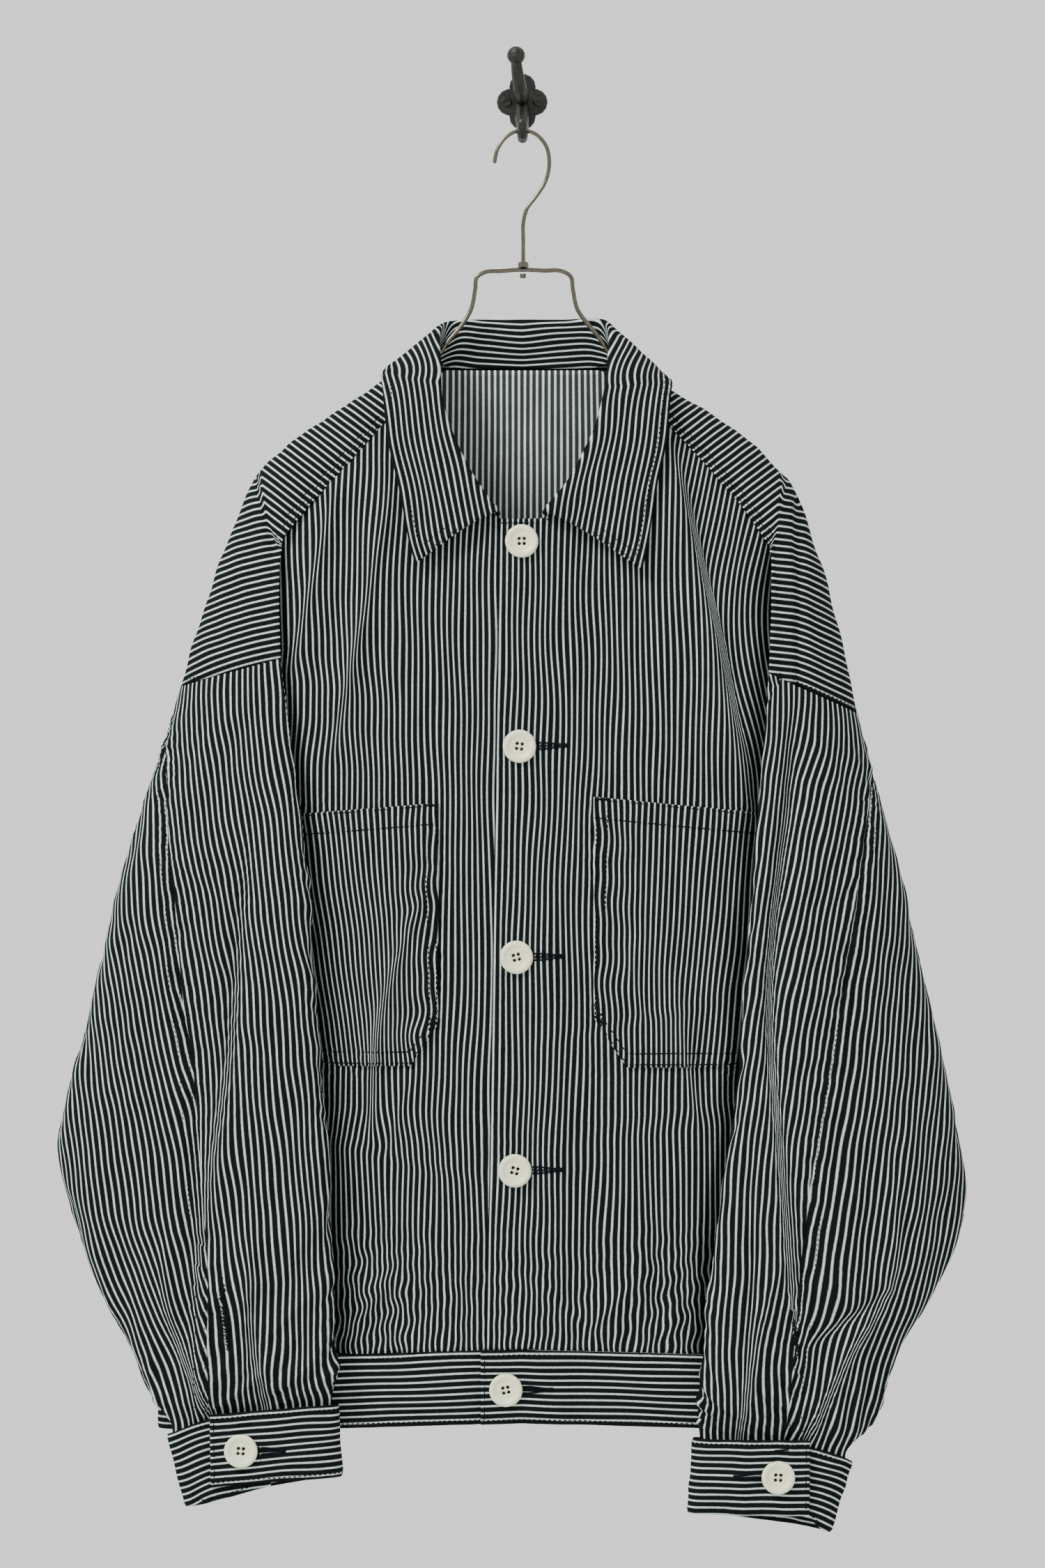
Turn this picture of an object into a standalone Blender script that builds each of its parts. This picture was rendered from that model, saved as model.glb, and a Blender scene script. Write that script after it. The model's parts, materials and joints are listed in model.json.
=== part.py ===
"""Shirt jacket on a wire hanger and a cast wall hook.

The origin is on the back face of the wall hook's plate, at its centre. +Z is up, the wall
is the plane y = 0, and the garment hangs on its -Y side. +X is to the right, and "left"
and "right" in the names are as seen from the front. Tables are in millimetres.
"""

import math
from collections import namedtuple

import bmesh
import bpy
import numpy as np
from mathutils import Vector

MM = 0.001


def table(columns, *rows):
    """Rows whose values are read by the names of the columns."""
    kind = namedtuple("Row", columns)
    return [kind(*row) for row in rows]


# ---- cloth ----
CLOTH = 1.5                 # wall of a single panel
BAND = 2.4                  # wall of the cuffs and the hem band, two plies
COLLAR = 2.0                # wall of the collar
SEAM_GAP = 0.3              # between pieces that are sewn together
RIDGE_Y = -36.0             # plane of the hanger, where the shoulders fold over it
FRONT_DEPTH = 30.0          # how far the front stands out from the hanger's plane
BACK_DEPTH = 22.0           # how far the back lies behind it
FALL = 45.0                 # height over which the cloth reaches that depth
LENS_POWER = 3.2            # how square the body's section is across
SIDE_LEFT = 224.0           # half width of the body under the arms, left and right
SIDE_RIGHT = 221.0
FRONT_LAP = 2.4             # the right front lies this far in front of the left one
LAP_REACH = (14.0, 46.0)    # across this stretch it comes back to the body's surface
CAP_RISE = 5.0              # the fold of the shoulder piece stands this far off the front

# The line over the shoulders, from the centre outwards.
RIDGE_LEFT = table(
    "x z",
    (0, -160), (30, -162), (50, -167.5), (64, -174.5), (92, -190), (109, -200.6),
    (128, -214), (149, -228), (167, -242), (179, -256), (184, -269.6), (191, -283),
    (196, -297), (206.5, -325), (215, -352), (228.5, -394), (241, -440),
)
RIDGE_RIGHT = table(
    "x z",
    (0, -160), (30, -162), (52, -168), (66, -176), (98, -196), (126.5, -214),
    (149.5, -228), (165.6, -242), (177, -256), (183.5, -270), (189, -283), (194.6, -297),
    (199, -311), (207, -339), (213.4, -366), (223.5, -412), (239, -444),
)

# Shoulder pieces: front edge, ridge and back edge, from the neck down to the armhole seam.
# "off" is how far the front edge stands in front of the front panel.
SHOULDER = "front_x front_z ridge_x ridge_z back_x back_z off"
SHOULDER_LEFT = table(
    SHOULDER,
    (64, -193, 64, -174.5, 63, -193, 0),
    (92, -221, 92, -190, 92, -226, 0),
    (115, -247, 128, -214, 122, -251, 0),
    (138, -272, 156, -233, 148, -275, 0.2),
    (159, -297, 178, -255, 170, -303, 0.8),
    (161, -318, 189, -279, 187, -336, 1),
    (161, -345, 202, -313, 198, -369, 1),
    (160.5, -362, 215, -352, 208, -398, 1),
    (160, -377, 228, -395, 216, -421, 1),
)
SHOULDER_RIGHT = table(
    SHOULDER,
    (66, -195, 66, -176, 65, -195, 0),
    (99, -224, 98, -196, 97, -231, 0),
    (124, -251, 131, -217, 125, -254, 0),
    (147, -278, 157, -235, 148, -277, 0.2),
    (165, -304, 178, -257.5, 170, -304, 0.8),
    (165, -325, 188, -280.5, 186, -338, 1),
    (164.5, -350, 200, -314, 196, -372, 1),
    (163.7, -372, 211, -355, 206, -404, 1),
    (163, -387, 223.5, -413, 214, -436, 1),
)
SHOULDER_ARC = 6            # steps from the ridge to the front edge
SHOULDER_REAR = 3           # and to the back edge
SHOULDER_SEAM = 5           # the front is sewn to this many rows; beyond them it goes behind

# Top edge of the front panels inside the shoulder seam (neckline), and outside it, where
# the panel runs on behind the fold of the shoulder piece to the underarm.
NECKLINE_LEFT = table("x z", (-12, -285.5), (15, -285), (33, -269), (47, -248), (58, -222))
NECKLINE_RIGHT = table("x z", (-15, -285.5), (14, -285), (32, -270), (46, -250), (58, -224))
ARMHOLE_FRONT = table("x z", (172, -348), (193, -396), (211, -446))
UNDERARM_Z = -488.0
HEM_Z = -840.0              # where the panels meet the hem band at the sides
SEAM_TURN = 1.6             # the last column but one is this far from the side seam
SEAM_HALF = 0.8             # and the last one this far from its middle, along Y
FRONT_BOTTOM = table("x z", (0, -834), (125, -838), (240, -840))
EDGE_SHIFT = -9.0           # the front edges drift this far across on their way down
SIDE_SHIFT = 19.0           # and the sides this far out
PANEL_ROWS = 22             # rows of points down a front panel
NECK_HALF = 53.0            # half width of the seam at the back of the neck, and its height
NECK_Z = -183.0

# Folds: a line down the cloth, how far it stands out, and its width to each side.
FOLD = "x_top z_top x_low z_low rise left right"
FRONT_FOLDS = table(
    FOLD,
    (-84, -240, -105, -345, 3.0, 14, 12),
    (-103, -335, -124, -430, 3.0, 16, 12),
    (-118, -250, -152, -390, 3.2, 13, 12),
    (94, -225, 116, -320, 4.5, 26, 9),
    (113, -305, 151, -466, 5.0, 28, 10),
    (108, -250, 150, -430, -3.0, 8, 16),
    (125, -275, 141, -385, 2.5, 10, 14),
    (-75, -770, -118, -830, 2.5, 14, 14),
    (78, -780, 46, -830, 2.5, 14, 14),
)
BACK_FOLDS = table(
    FOLD,
    (-60, -330, -75, -640, 2.5, 26, 26),
    (70, -350, 55, -700, 2.5, 24, 28),
    (-150, -420, -135, -760, 3.0, 24, 20),
    (155, -430, 140, -740, 3.0, 22, 24),
)

# Sleeves below the armhole: outer and inner edge of the flattened tube.
SLEEVE = "out_x out_z in_x in_z out_y front back"
SLEEVE_LEFT = table(
    SLEEVE,
    (266.5, -522, 141.5, -520, -57, 15, 7),
    (276, -560, 139, -560, -56, 16, 7),
    (292, -628, 134, -628, -56, 17, 7),
    (302, -665, 131, -663, -57, 17, 7),
    (308, -697, 128, -695, -58, 18, 7),
    (304, -725, 127, -722, -59, 18, 7),
    (296, -753, 126, -748, -61, 17, 6.5),
    (280, -794, 124.5, -786, -65, 16, 6),
    (258.5, -835, 123.5, -820, -68, 14, 5),
    (244, -868, 122.5, -849, -71, 12, 4.5),
)
SLEEVE_RIGHT = table(
    SLEEVE,
    (250.7, -522, 151.5, -520, -57, 14, 7),
    (260, -560, 148.4, -560, -56, 15, 7),
    (276, -628, 144, -628, -56, 16, 7),
    (284, -665, 140, -665, -57, 17, 7),
    (290, -697, 136, -697, -58, 18, 7),
    (294, -727, 132, -725, -59, 18, 7),
    (291, -755, 128.6, -753, -61, 17, 6.5),
    (273, -794, 122.6, -792, -65, 16, 6),
    (249, -835, 120, -830, -68, 14, 5),
    (229, -884, 115.5, -870, -71, 12, 4.5),
)
SLEEVE_IN_Y = -77.0         # the inner edge lies in front of the body
TUBE_SQUARE = 0.62          # 1 is an ellipse, less has blunter edges
# The end of the sleeve inside the cuff: edges as above, then the middle and half depth.
WRIST_LEFT = table("out_x out_z in_x in_z", (226, -886, 137, -868))
WRIST_RIGHT = table("out_x out_z in_x in_z", (208, -904, 128, -890))
WRIST_Y = -73.5
WRIST_DEPTH = 4.4
WRIST_SQUARE = 0.4
WRIST_TUCK = 5.0            # how far it reaches down inside the cuff
# The armhole's seam below the shoulder piece: down the edge of the back to the underarm,
# then up in front of the front panel to the fold. "turn" is the place around the sleeve,
# and "off" how far the edge stands in front of the layer it follows.
ARMHOLE_LEFT = table(
    "turn x z layer off",
    (0.61, 219.9, -452, "back", 0),
    (0.65, 223.2, -483.6, "back", 0),
    (0.69, 226.6, -492, "side", 2),
    (0.74, 223.6, -483.2, "front", 5),
    (0.82, 212, -446, "front", 2.6),
    (0.90, 193, -400, "front", 1.6),
    (0.96, 174, -387, "front", 1.3),
    (0.985, 160.6, -380.5, "front", 1.3),
)
ARMHOLE_RIGHT = table(
    "turn x z layer off",
    (0.61, 217.4, -460, "back", 0),
    (0.65, 220.2, -483.6, "back", 0),
    (0.69, 222.6, -492, "side", 2),
    (0.74, 220.6, -484, "front", 5),
    (0.82, 211, -449, "front", 2.6),
    (0.90, 193, -409, "front", 1.6),
    (0.96, 177, -397, "front", 1.3),
    (0.985, 163.6, -390.5, "front", 1.3),
)
ARMHOLE_FOLD = (0.05, 0.12)  # two more places around the sleeve, next to its inner edge
ARMHOLE_BACK = 0.57         # the place around the sleeve of the shoulder's back edge
ARMHOLE_GAP = 0.7           # between the sleeve's edge and the shoulder piece
SLEEVE_GAP = 2.8            # between the sleeve and the front, where it leaves the panel

# Cuffs: a strip from its end on top of the lap, round the wrist, to its end beneath.
CUFF = "top_x top_z low_x low_z y"
CUFF_LEFT = table(
    CUFF,
    (205.6, -875, 205, -923, -84.5),
    (180, -872.6, 178, -920, -86),
    (145, -870, 143, -918, -85),
    (127, -869.2, 125, -917, -80.5),
    (121.5, -869, 119.5, -917, -74.5),
    (127, -869.6, 125, -917.5, -68.5),
    (160, -875, 157, -923, -66),
    (205, -883.5, 198, -931, -65),
    (229, -888.4, 217, -936, -67.5),
    (235, -889.4, 222, -937, -73),
    (229, -888.8, 217, -936.4, -78.5),
    (212, -886.5, 204, -934, -80.5),
    (188, -883, 183, -931, -81),
)
CUFF_RIGHT = table(
    CUFF,
    (189, -892, 188.6, -941.6, -84.5),
    (165, -891.6, 163, -941.2, -86),
    (135, -891.4, 132, -941, -85),
    (118, -891.4, 114, -941, -80.5),
    (112.5, -891.4, 108.6, -941, -74.5),
    (118, -892, 114, -941.4, -68.5),
    (150, -896, 144, -945, -66),
    (190, -902, 181, -950, -65),
    (211, -906, 197, -953, -67.5),
    (217.5, -907.4, 203, -954, -73),
    (211, -906.6, 197, -953.2, -78.5),
    (196, -904, 188, -951, -80.5),
    (176, -900, 170, -948, -81),
)
CUFF_STEPS = 37

# Hem band.
BAND_TOP = table("x z", (0, -834.4), (125, -838.4), (242, -840.4))
BAND_LOW = table("x z", (0, -884), (125, -888), (242, -890))
BAND_BACK_DROP = 2.5        # the back of the band hangs lower than the front
BAND_ENDS = (-27.6, 8.0)    # its two ends: on top, and beneath
BAND_LAP = 3.0
BAND_STEPS = 12             # steps in each quarter of the way round

# Collar, from the back centre round to its front end: the seam on the neck, the roll,
# and the outer edge of the leaf.
LEAF = "seam_x seam_y seam_z roll_x roll_y roll_z edge_x edge_y edge_z"
COLLAR_LEFT = table(
    LEAF,
    (0, -21, -181.5, 0, -25, -150, 0, -8, -204),
    (28, -21, -181.5, 24, -25.5, -150, 32, -8, -205),
    (49, -24, -181, 41, -28, -150.5, 62, -11, -204),
    (58, -31, -176, 50, -33, -153, 83, -20, -195),
    (61, -38, -172.5, 54, -40, -160, 93, -38, -186.5),
    (61.5, -48, -184, 53.5, -51, -176, 92.5, -60.5, -203),
    (58.5, -56, -208, 52.5, -61, -200, 89, -68, -234),
    (50, -61.5, -234, 45, -68, -228, 82, -70.5, -264),
    (36, -65, -260, 31, -72, -257, 75.5, -71, -298),
    (15, -67, -283, 13.5, -73.5, -280.5, 71, -72, -315),
)
COLLAR_RIGHT = table(
    LEAF,
    (0, -21, -181.5, 0, -25, -150, 0, -8, -204),
    (28, -21, -181.5, 26, -25.5, -150, 34, -8, -205),
    (50, -24, -181, 46, -28, -150.5, 66, -11, -204),
    (60, -31, -176.5, 54, -33, -153, 88, -20, -198),
    (63, -38, -174, 56, -40, -161, 99, -38, -191),
    (62.5, -48, -186, 55, -51, -178, 98, -60.5, -207),
    (59, -56, -210, 52.5, -61, -203, 95, -68, -236),
    (49.5, -61.5, -236, 44, -68, -231, 88.5, -70.5, -266),
    (35, -66.5, -262, 29, -73.5, -259, 83, -71.5, -302),
    (15, -69, -283.3, 12, -75.5, -281, 79, -73, -319),
)
COLLAR_STATIONS = 14        # on each side of the back centre
COLLAR_ROLL = 4.8           # the leaf leaves the roll this far outside the stand

# Patch pockets, as an outline on the front panel: inner edge, top, outer edge, cut corner.
POCKETS = table(
    "name inner top_in outer top_out cut_x cut_z low",
    ("pocket_left", -55.7, -473, -182, -483, -74.5, -619, -647),
    ("pocket_right", 47, -469, 172, -481, 69, -615, -648),
)
POCKET_STEPS = 8
POCKET_GAP = 0.7

# Buttons.
BUTTON_RADIUS = 11.0
BUTTON_HEIGHT = 3.2
BUTTON_SIDES = 18
BUTTON_HOLE = 1.1
BUTTON_HOLE_OFF = 2.3
FRONT_BUTTONS = table(
    "name x z",
    ("button_1", -0.5, -300), ("button_2", -2, -435.6), ("button_3", -4, -575),
    ("button_4", -5, -716), ("button_hem", -11, -860.7),
)
CUFF_BUTTONS = table(
    "name x z", ("button_cuff_left", -185, -898.5), ("button_cuff_right", 168, -916),
)

# Wall hook and hanger.
PLATE_THICK = 3.6
PLATE_LOBE = 9.0
LOBES = table(
    "x z thick",
    (-8.4, 0, PLATE_THICK), (8.0, 0, PLATE_THICK), (0, 10.2, 3.3), (0, -9.6, 3.3),
)
UPPER_PRONG = table(
    "x y z radius",
    (-0.5, -5.4, 2, 5.0), (-1, -12, 3, 4.9), (-2, -21, 8, 4.5), (-3.4, -26, 16, 4.1),
    (-4.3, -27.5, 24, 3.6),
)
LOWER_PRONG = table(
    "x y z radius",
    (-0.5, -5.4, -5, 5.0), (-0.5, -12, -11, 4.7), (0, -20, -20.5, 4.1), (0, -29, -27.4, 3.6),
    (0, -36, -29.2, 3.4), (0, -43, -26.4, 3.2), (0, -46.5, -19.5, 2.9),
)
KNOB = (-4.3, -28, 27.4)
KNOB_RADIUS = 6.2
SCREW_X = 10.6
SCREW_HEAD = 3.6
SCREW_SHANK = 1.6
SCREW_SLOT = 1.0
HOOK_WIRE = 1.35
HOOK_BALL = 2.1
HOOK_ROUTE = table(
    "x z",
    (-18.8, -46), (-17, -37.5), (-11.5, -29), (-1, -23.9), (9.5, -27), (16, -35),
    (17.9, -45), (15.8, -57), (9.2, -68), (2.9, -76.5), (0.8, -84), (0.5, -98),
    (0.5, -113.6),
)
FRAME_WIRE = 1.45
# The frame's wire, from the middle outwards.
FRAME_LEFT = table(
    "x z",
    (14, -117.9), (26, -119), (30.2, -121.6), (31.6, -130), (34.2, -143), (40.5, -154),
    (50, -165.2), (57.5, -175.8), (65, -181.2), (92, -195), (128, -219), (151, -236),
    (171, -255.5),
)
FRAME_RIGHT = table(
    "x z",
    (14, -117.6), (27, -118.2), (31.6, -120.8), (33.8, -131), (36.5, -143), (42.5, -152),
    (50.5, -161.5), (64, -180.6), (98, -200.8), (128, -220), (150, -236), (170, -257),
)
FRAME_MIDDLE = (0, -117.4)
NUT_RADIUS = 3.6
NUT_TOP = -111.8
NUT_LOW = -115.5
NUT_BORE = 1.7
RIVET_RADIUS = 2.2
RIVET_TOP = -118.4 - FRAME_WIRE + 0.7

COLOURS = {
    "cloth": ((0.1, 0.115, 0.115), 0.85, 0.0),
    "button": ((0.66, 0.67, 0.52), 0.35, 0.0),
    "steel": ((0.55, 0.54, 0.49), 0.25, 1.0),
    "iron": ((0.02, 0.02, 0.018), 0.55, 0.8),
}


# ---------------------------------------------------------------- small mathematics

def column(rows, name):
    return np.array([getattr(row, name) for row in rows], dtype=float)


def height_at(rows, x):
    """Height, at x to either side of the middle, of a line given by a few points."""
    return np.interp(np.abs(x), column(rows, "x"), column(rows, "z"))


def spline(knots, values, at):
    """Smooth curve through the values (one row for each knot), read at any places."""
    knots = np.asarray(knots, dtype=float)
    values = np.asarray(values, dtype=float)
    flat = values.ndim == 1
    if flat:
        values = values[:, None]
    step = np.diff(knots)
    slope = np.diff(values, axis=0) / step[:, None]
    tangent = np.empty_like(values)
    tangent[0], tangent[-1] = slope[0], slope[-1]
    before, after = step[:-1, None], step[1:, None]
    tangent[1:-1] = (after * slope[:-1] + before * slope[1:]) / (before + after)
    at = np.clip(np.asarray(at, dtype=float), knots[0], knots[-1])
    k = np.clip(np.searchsorted(knots, at, side="right") - 1, 0, len(step) - 1)
    width = step[k]
    t = ((at - knots[k]) / width)[..., None]
    width = width[..., None]
    found = (
        values[k] * (2 * t**3 - 3 * t**2 + 1)
        + tangent[k] * width * (t**3 - 2 * t**2 + t)
        + values[k + 1] * (3 * t**2 - 2 * t**3)
        + tangent[k + 1] * width * (t**3 - t**2)
    )
    return found[..., 0] if flat else found


def smooth_step(value):
    value = np.clip(value, 0, 1)
    return value * value * (3 - 2 * value)


def evenly(points, count):
    """The same smooth route, read at evenly spaced places along it."""
    points = np.asarray(points, dtype=float)
    reach = np.concatenate([[0], np.cumsum(np.linalg.norm(np.diff(points, axis=0), axis=1))])
    return spline(reach, points, np.linspace(0, reach[-1], count))


def fold_rise(x, z, folds):
    """How far the folds stand out of the cloth at x, z."""
    total = np.zeros(np.broadcast(x, z).shape)
    for fold in folds:
        run_x, run_z = fold.x_low - fold.x_top, fold.z_low - fold.z_top
        length = math.hypot(run_x, run_z)
        off_x, off_z = x - fold.x_top, z - fold.z_top
        along = (off_x * run_x + off_z * run_z) / length**2
        across = (off_z * run_x - off_x * run_z) / length
        width = np.where(across < 0, fold.left, fold.right)
        ends = smooth_step(along / 0.25) * smooth_step((1 - along) / 0.25)
        total += fold.rise * ends * np.exp(-((across / width) ** 2))
    return total


# ---------------------------------------------------------------- the body's surface

def ridge_height(x):
    """Height of the shoulder line at x."""
    left = spline(column(RIDGE_LEFT, "x"), column(RIDGE_LEFT, "z"), -np.minimum(x, 0))
    right = spline(column(RIDGE_RIGHT, "x"), column(RIDGE_RIGHT, "z"), np.maximum(x, 0))
    return np.where(x < 0, left, right)


def fullness(x, z):
    """0 at the shoulder line and the side seams, up to 1 in the middle of the body."""
    x, z = np.asarray(x, dtype=float), np.asarray(z, dtype=float)
    fall = np.maximum(ridge_height(x) - z, 0)
    side = np.where(x < 0, SIDE_LEFT, SIDE_RIGHT)
    side = side + SIDE_SHIFT * np.clip((UNDERARM_Z - z) / (UNDERARM_Z - HEM_Z), 0, 1)
    lens = np.sqrt(np.maximum(1 - np.abs(x / side) ** LENS_POWER, 0))
    return np.sqrt(1 - np.exp(-fall / FALL)) * lens


def front_y(x, z, lap=0.0):
    """Outer surface of the front; lap brings the edge of the upper layer forward."""
    full = fullness(x, z)
    start, stop = LAP_REACH
    lift = lap * (1 - smooth_step((np.asarray(x, dtype=float) - start) / (stop - start)))
    deep = (FRONT_DEPTH + fold_rise(x, z, FRONT_FOLDS)) * full
    return RIDGE_Y - np.maximum(deep, SEAM_HALF) - lift


def back_y(x, z):
    """Outer surface of the back."""
    deep = (BACK_DEPTH - fold_rise(x, z, BACK_FOLDS)) * fullness(x, z)
    return RIDGE_Y + np.maximum(deep, SEAM_HALF)


# ---------------------------------------------------------------- Blender objects

def clear_scene():
    for item in list(bpy.data.objects):
        bpy.data.objects.remove(item, do_unlink=True)


def make_materials():
    made = {}
    for name, (colour, roughness, metallic) in COLOURS.items():
        material = bpy.data.materials.new(name)
        material.use_nodes = True
        shader = material.node_tree.nodes["Principled BSDF"]
        shader.inputs["Base Color"].default_value = (*colour, 1)
        shader.inputs["Roughness"].default_value = roughness
        shader.inputs["Metallic"].default_value = metallic
        made[name] = material
    return made


def add_object(name, vertices, faces, material):
    """A mesh object from vertices in millimetres."""
    mesh = bpy.data.meshes.new(name)
    mesh.from_pydata((np.asarray(vertices, dtype=float) * MM).tolist(), [], faces)
    mesh.materials.append(material)
    mesh.update()
    item = bpy.data.objects.new(name, mesh)
    bpy.context.scene.collection.objects.link(item)
    return item


def grid_faces(rows, columns, closed):
    wrap = columns if closed else columns - 1
    faces = []
    for r in range(rows - 1):
        for c in range(wrap):
            d = (c + 1) % columns
            first = r * columns
            faces.append((first + c, first + d, first + columns + d, first + columns + c))
    return faces


def cloth_sheet(name, points, wall, material, facing=None, closed=False, centred=False):
    """A wall of cloth whose outer side is the grid of points [row, column].

    facing is the way the outer side looks; without it, it looks away from the middle
    of each row.
    """
    rows, columns = points.shape[:2]
    faces = grid_faces(rows, columns, closed)
    flat = points.reshape(-1, 3)
    corners = flat[np.array(faces)]
    normal = np.cross(corners[:, 2] - corners[:, 0], corners[:, 3] - corners[:, 1])
    if facing is None:
        middle = points.mean(axis=1)
        row = np.repeat(np.arange(rows - 1), len(faces) // (rows - 1))
        facing = corners.mean(axis=1) - (middle[row] + middle[row + 1]) / 2
    if np.sum(normal * np.asarray(facing, dtype=float)) < 0:
        faces = [face[::-1] for face in faces]
    item = add_object(name, flat, faces, material)
    solid = item.modifiers.new("wall", "SOLIDIFY")
    solid.thickness = wall * MM
    solid.offset = 0 if centred else -1
    item.data.shade_smooth()
    return item


def swept_tube(name, route, radii, sides, material):
    """A round bar along the route, with domed ends."""
    route = np.asarray(route, dtype=float)
    radii = np.broadcast_to(np.asarray(radii, dtype=float), len(route))
    run = np.gradient(route, axis=0)
    run /= np.linalg.norm(run, axis=1)[:, None]
    centres = [route[0] - run[0] * radii[0] * 0.6, *route, route[-1] + run[-1] * radii[-1] * 0.6]
    directions = [run[0], *run, run[-1]]
    sizes = [radii[0] * 0.6, *radii, radii[-1] * 0.6]
    side = Vector((0, 1, 0)).cross(Vector(run[0]))
    if side.length < 0.5:
        side = Vector((1, 0, 0)).cross(Vector(run[0]))
    side.normalize()
    vertices = []
    for centre, direction, size in zip(centres, directions, sizes):
        direction = Vector(direction)
        side = (side - direction * side.dot(direction)).normalized()
        other = direction.cross(side)
        for k in range(sides):
            turn = 2 * math.pi * k / sides
            offset = side * math.cos(turn) + other * math.sin(turn)
            vertices.append(tuple(Vector(centre) + offset * size))
    rings = len(centres)
    faces = grid_faces(rings, sides, closed=True)
    faces.append(tuple(range(sides))[::-1])
    faces.append(tuple(range((rings - 1) * sides, rings * sides)))
    item = add_object(name, vertices, faces, material)
    face_outwards(item)
    return item


def turned(name, profile, sides, material):
    """A solid of revolution about +Z from (radius, height) pairs, closed by its ends."""
    vertices, faces = [], []
    for radius, height in profile:
        for k in range(sides):
            turn = 2 * math.pi * k / sides
            vertices.append((radius * math.cos(turn), radius * math.sin(turn), height))
    rings = len(profile)
    faces = grid_faces(rings, sides, closed=True)
    faces.append(tuple(range(sides))[::-1])
    faces.append(tuple(range((rings - 1) * sides, rings * sides)))
    item = add_object(name, vertices, faces, material)
    face_outwards(item)
    return item


def face_outwards(item):
    edit = bmesh.new()
    edit.from_mesh(item.data)
    bmesh.ops.recalc_face_normals(edit, faces=edit.faces)
    edit.to_mesh(item.data)
    edit.free()
    item.data.shade_smooth()
    item.data.set_sharp_from_angle(angle=math.radians(35))


def combine(item, others, operation):
    """Join others to the item, or cut them out of it, and drop them."""
    for other in others:
        change = item.modifiers.new(other.name, "BOOLEAN")
        change.operation = operation
        change.object = other
        other.hide_render = True
        other.display_type = "WIRE"


# ---------------------------------------------------------------- panels

def panel_points(top, bottom, shift_in, shift_out, rows, depth):
    """Grid of a hanging panel: columns fall from the top edge to the bottom edge.

    top is the list of (x, z) of the columns' heads; shift_in and shift_out are how far
    the first and the last column drift across on the way down; depth gives y.
    """
    top = np.asarray(top, dtype=float)
    reach = np.abs(top[:, 0] - top[0, 0])
    shift = shift_in + (shift_out - shift_in) * reach / reach[-1]
    foot_x = top[:, 0] + shift
    foot_z = height_at(bottom, foot_x)
    down = np.linspace(0, 1, rows)[:, None]
    x = top[:, 0] + (foot_x - top[:, 0]) * down
    z = top[:, 1] + (foot_z - top[:, 1]) * down
    return np.stack([x, depth(x, z), z], axis=-1)


def side_heads(half_width):
    """Heads of the last two columns, close together where the panel turns the side."""
    return [(half_width - SEAM_TURN, UNDERARM_Z + 5), (half_width, UNDERARM_Z)]


def front_top(side, neckline, shoulder, half_width):
    """Heads of a front panel's columns, from its front edge to the side seam."""
    seam = [(row.front_x, row.front_z - SEAM_GAP) for row in shoulder[:SHOULDER_SEAM]]
    heads = [*neckline, *seam, *ARMHOLE_FRONT, *side_heads(half_width)]
    return [(side * x, z) for x, z in heads]


def make_fronts(cloth):
    for name, side, neckline, shoulder, half_width, lap, edge_shift, side_shift in (
        ("front_left", -1, NECKLINE_LEFT, SHOULDER_LEFT, SIDE_LEFT, 0,
         EDGE_SHIFT, -SIDE_SHIFT),
        ("front_right", 1, NECKLINE_RIGHT, SHOULDER_RIGHT, SIDE_RIGHT, FRONT_LAP,
         EDGE_SHIFT, SIDE_SHIFT),
    ):
        top = front_top(side, neckline, shoulder, half_width)
        points = panel_points(top, FRONT_BOTTOM, edge_shift, side_shift, PANEL_ROWS,
                              lambda x, z, lap=lap: front_y(x, z, lap))
        cloth_sheet(name, points, CLOTH, cloth, facing=(0, -1, 0))


def make_back(cloth):
    neck = [(x, NECK_Z) for x in np.linspace(-NECK_HALF, NECK_HALF, 5)]
    sides = {}
    for side, shoulder, half_width in (
        (-1, SHOULDER_LEFT, SIDE_LEFT), (1, SHOULDER_RIGHT, SIDE_RIGHT)
    ):
        seam = [(row.back_x, row.back_z - SEAM_GAP) for row in shoulder]
        heads = [*seam, *side_heads(half_width)]
        sides[side] = [(side * x, z) for x, z in heads]
    top = sides[-1][::-1] + neck + sides[1]
    points = panel_points(top, FRONT_BOTTOM, -SIDE_SHIFT, SIDE_SHIFT, PANEL_ROWS - 5, back_y)
    cloth_sheet("back", points, CLOTH, cloth, facing=(0, 1, 0))


def quarter_turn(ridge, edge, arc):
    """From the ridge, level, round and down to the edge."""
    fall = (1 - np.cos(arc))[:, None]
    reach = np.stack([fall[:, 0], np.sin(arc), fall[:, 0]], axis=-1)
    return ridge + (np.asarray(edge, dtype=float) - ridge) * reach


def shoulder_points(side, shoulder):
    """Grid of a shoulder piece: rows from the neck to the armhole, front edge to back."""
    front_arc = np.linspace(0, math.pi / 2, SHOULDER_ARC + 1)
    rear_arc = np.linspace(0, math.pi / 2, SHOULDER_REAR + 1)
    rows = []
    for row in shoulder:
        ridge = np.array((side * row.ridge_x, RIDGE_Y, row.ridge_z))
        front_x, back_x = side * row.front_x, side * row.back_x
        edge = float(front_y(front_x, row.front_z)) - CAP_RISE * row.off
        rear = float(back_y(back_x, row.back_z))
        front = quarter_turn(ridge, (front_x, edge, row.front_z), front_arc)
        back = quarter_turn(ridge, (back_x, rear, row.back_z), rear_arc)
        rows.append(np.concatenate([front[::-1], back[1:]]))
    return np.array(rows)


def make_shoulders(cloth):
    for name, side, shoulder in (
        ("shoulder_left", -1, SHOULDER_LEFT), ("shoulder_right", 1, SHOULDER_RIGHT)
    ):
        cloth_sheet(name, shoulder_points(side, shoulder), CLOTH, cloth)


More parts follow.
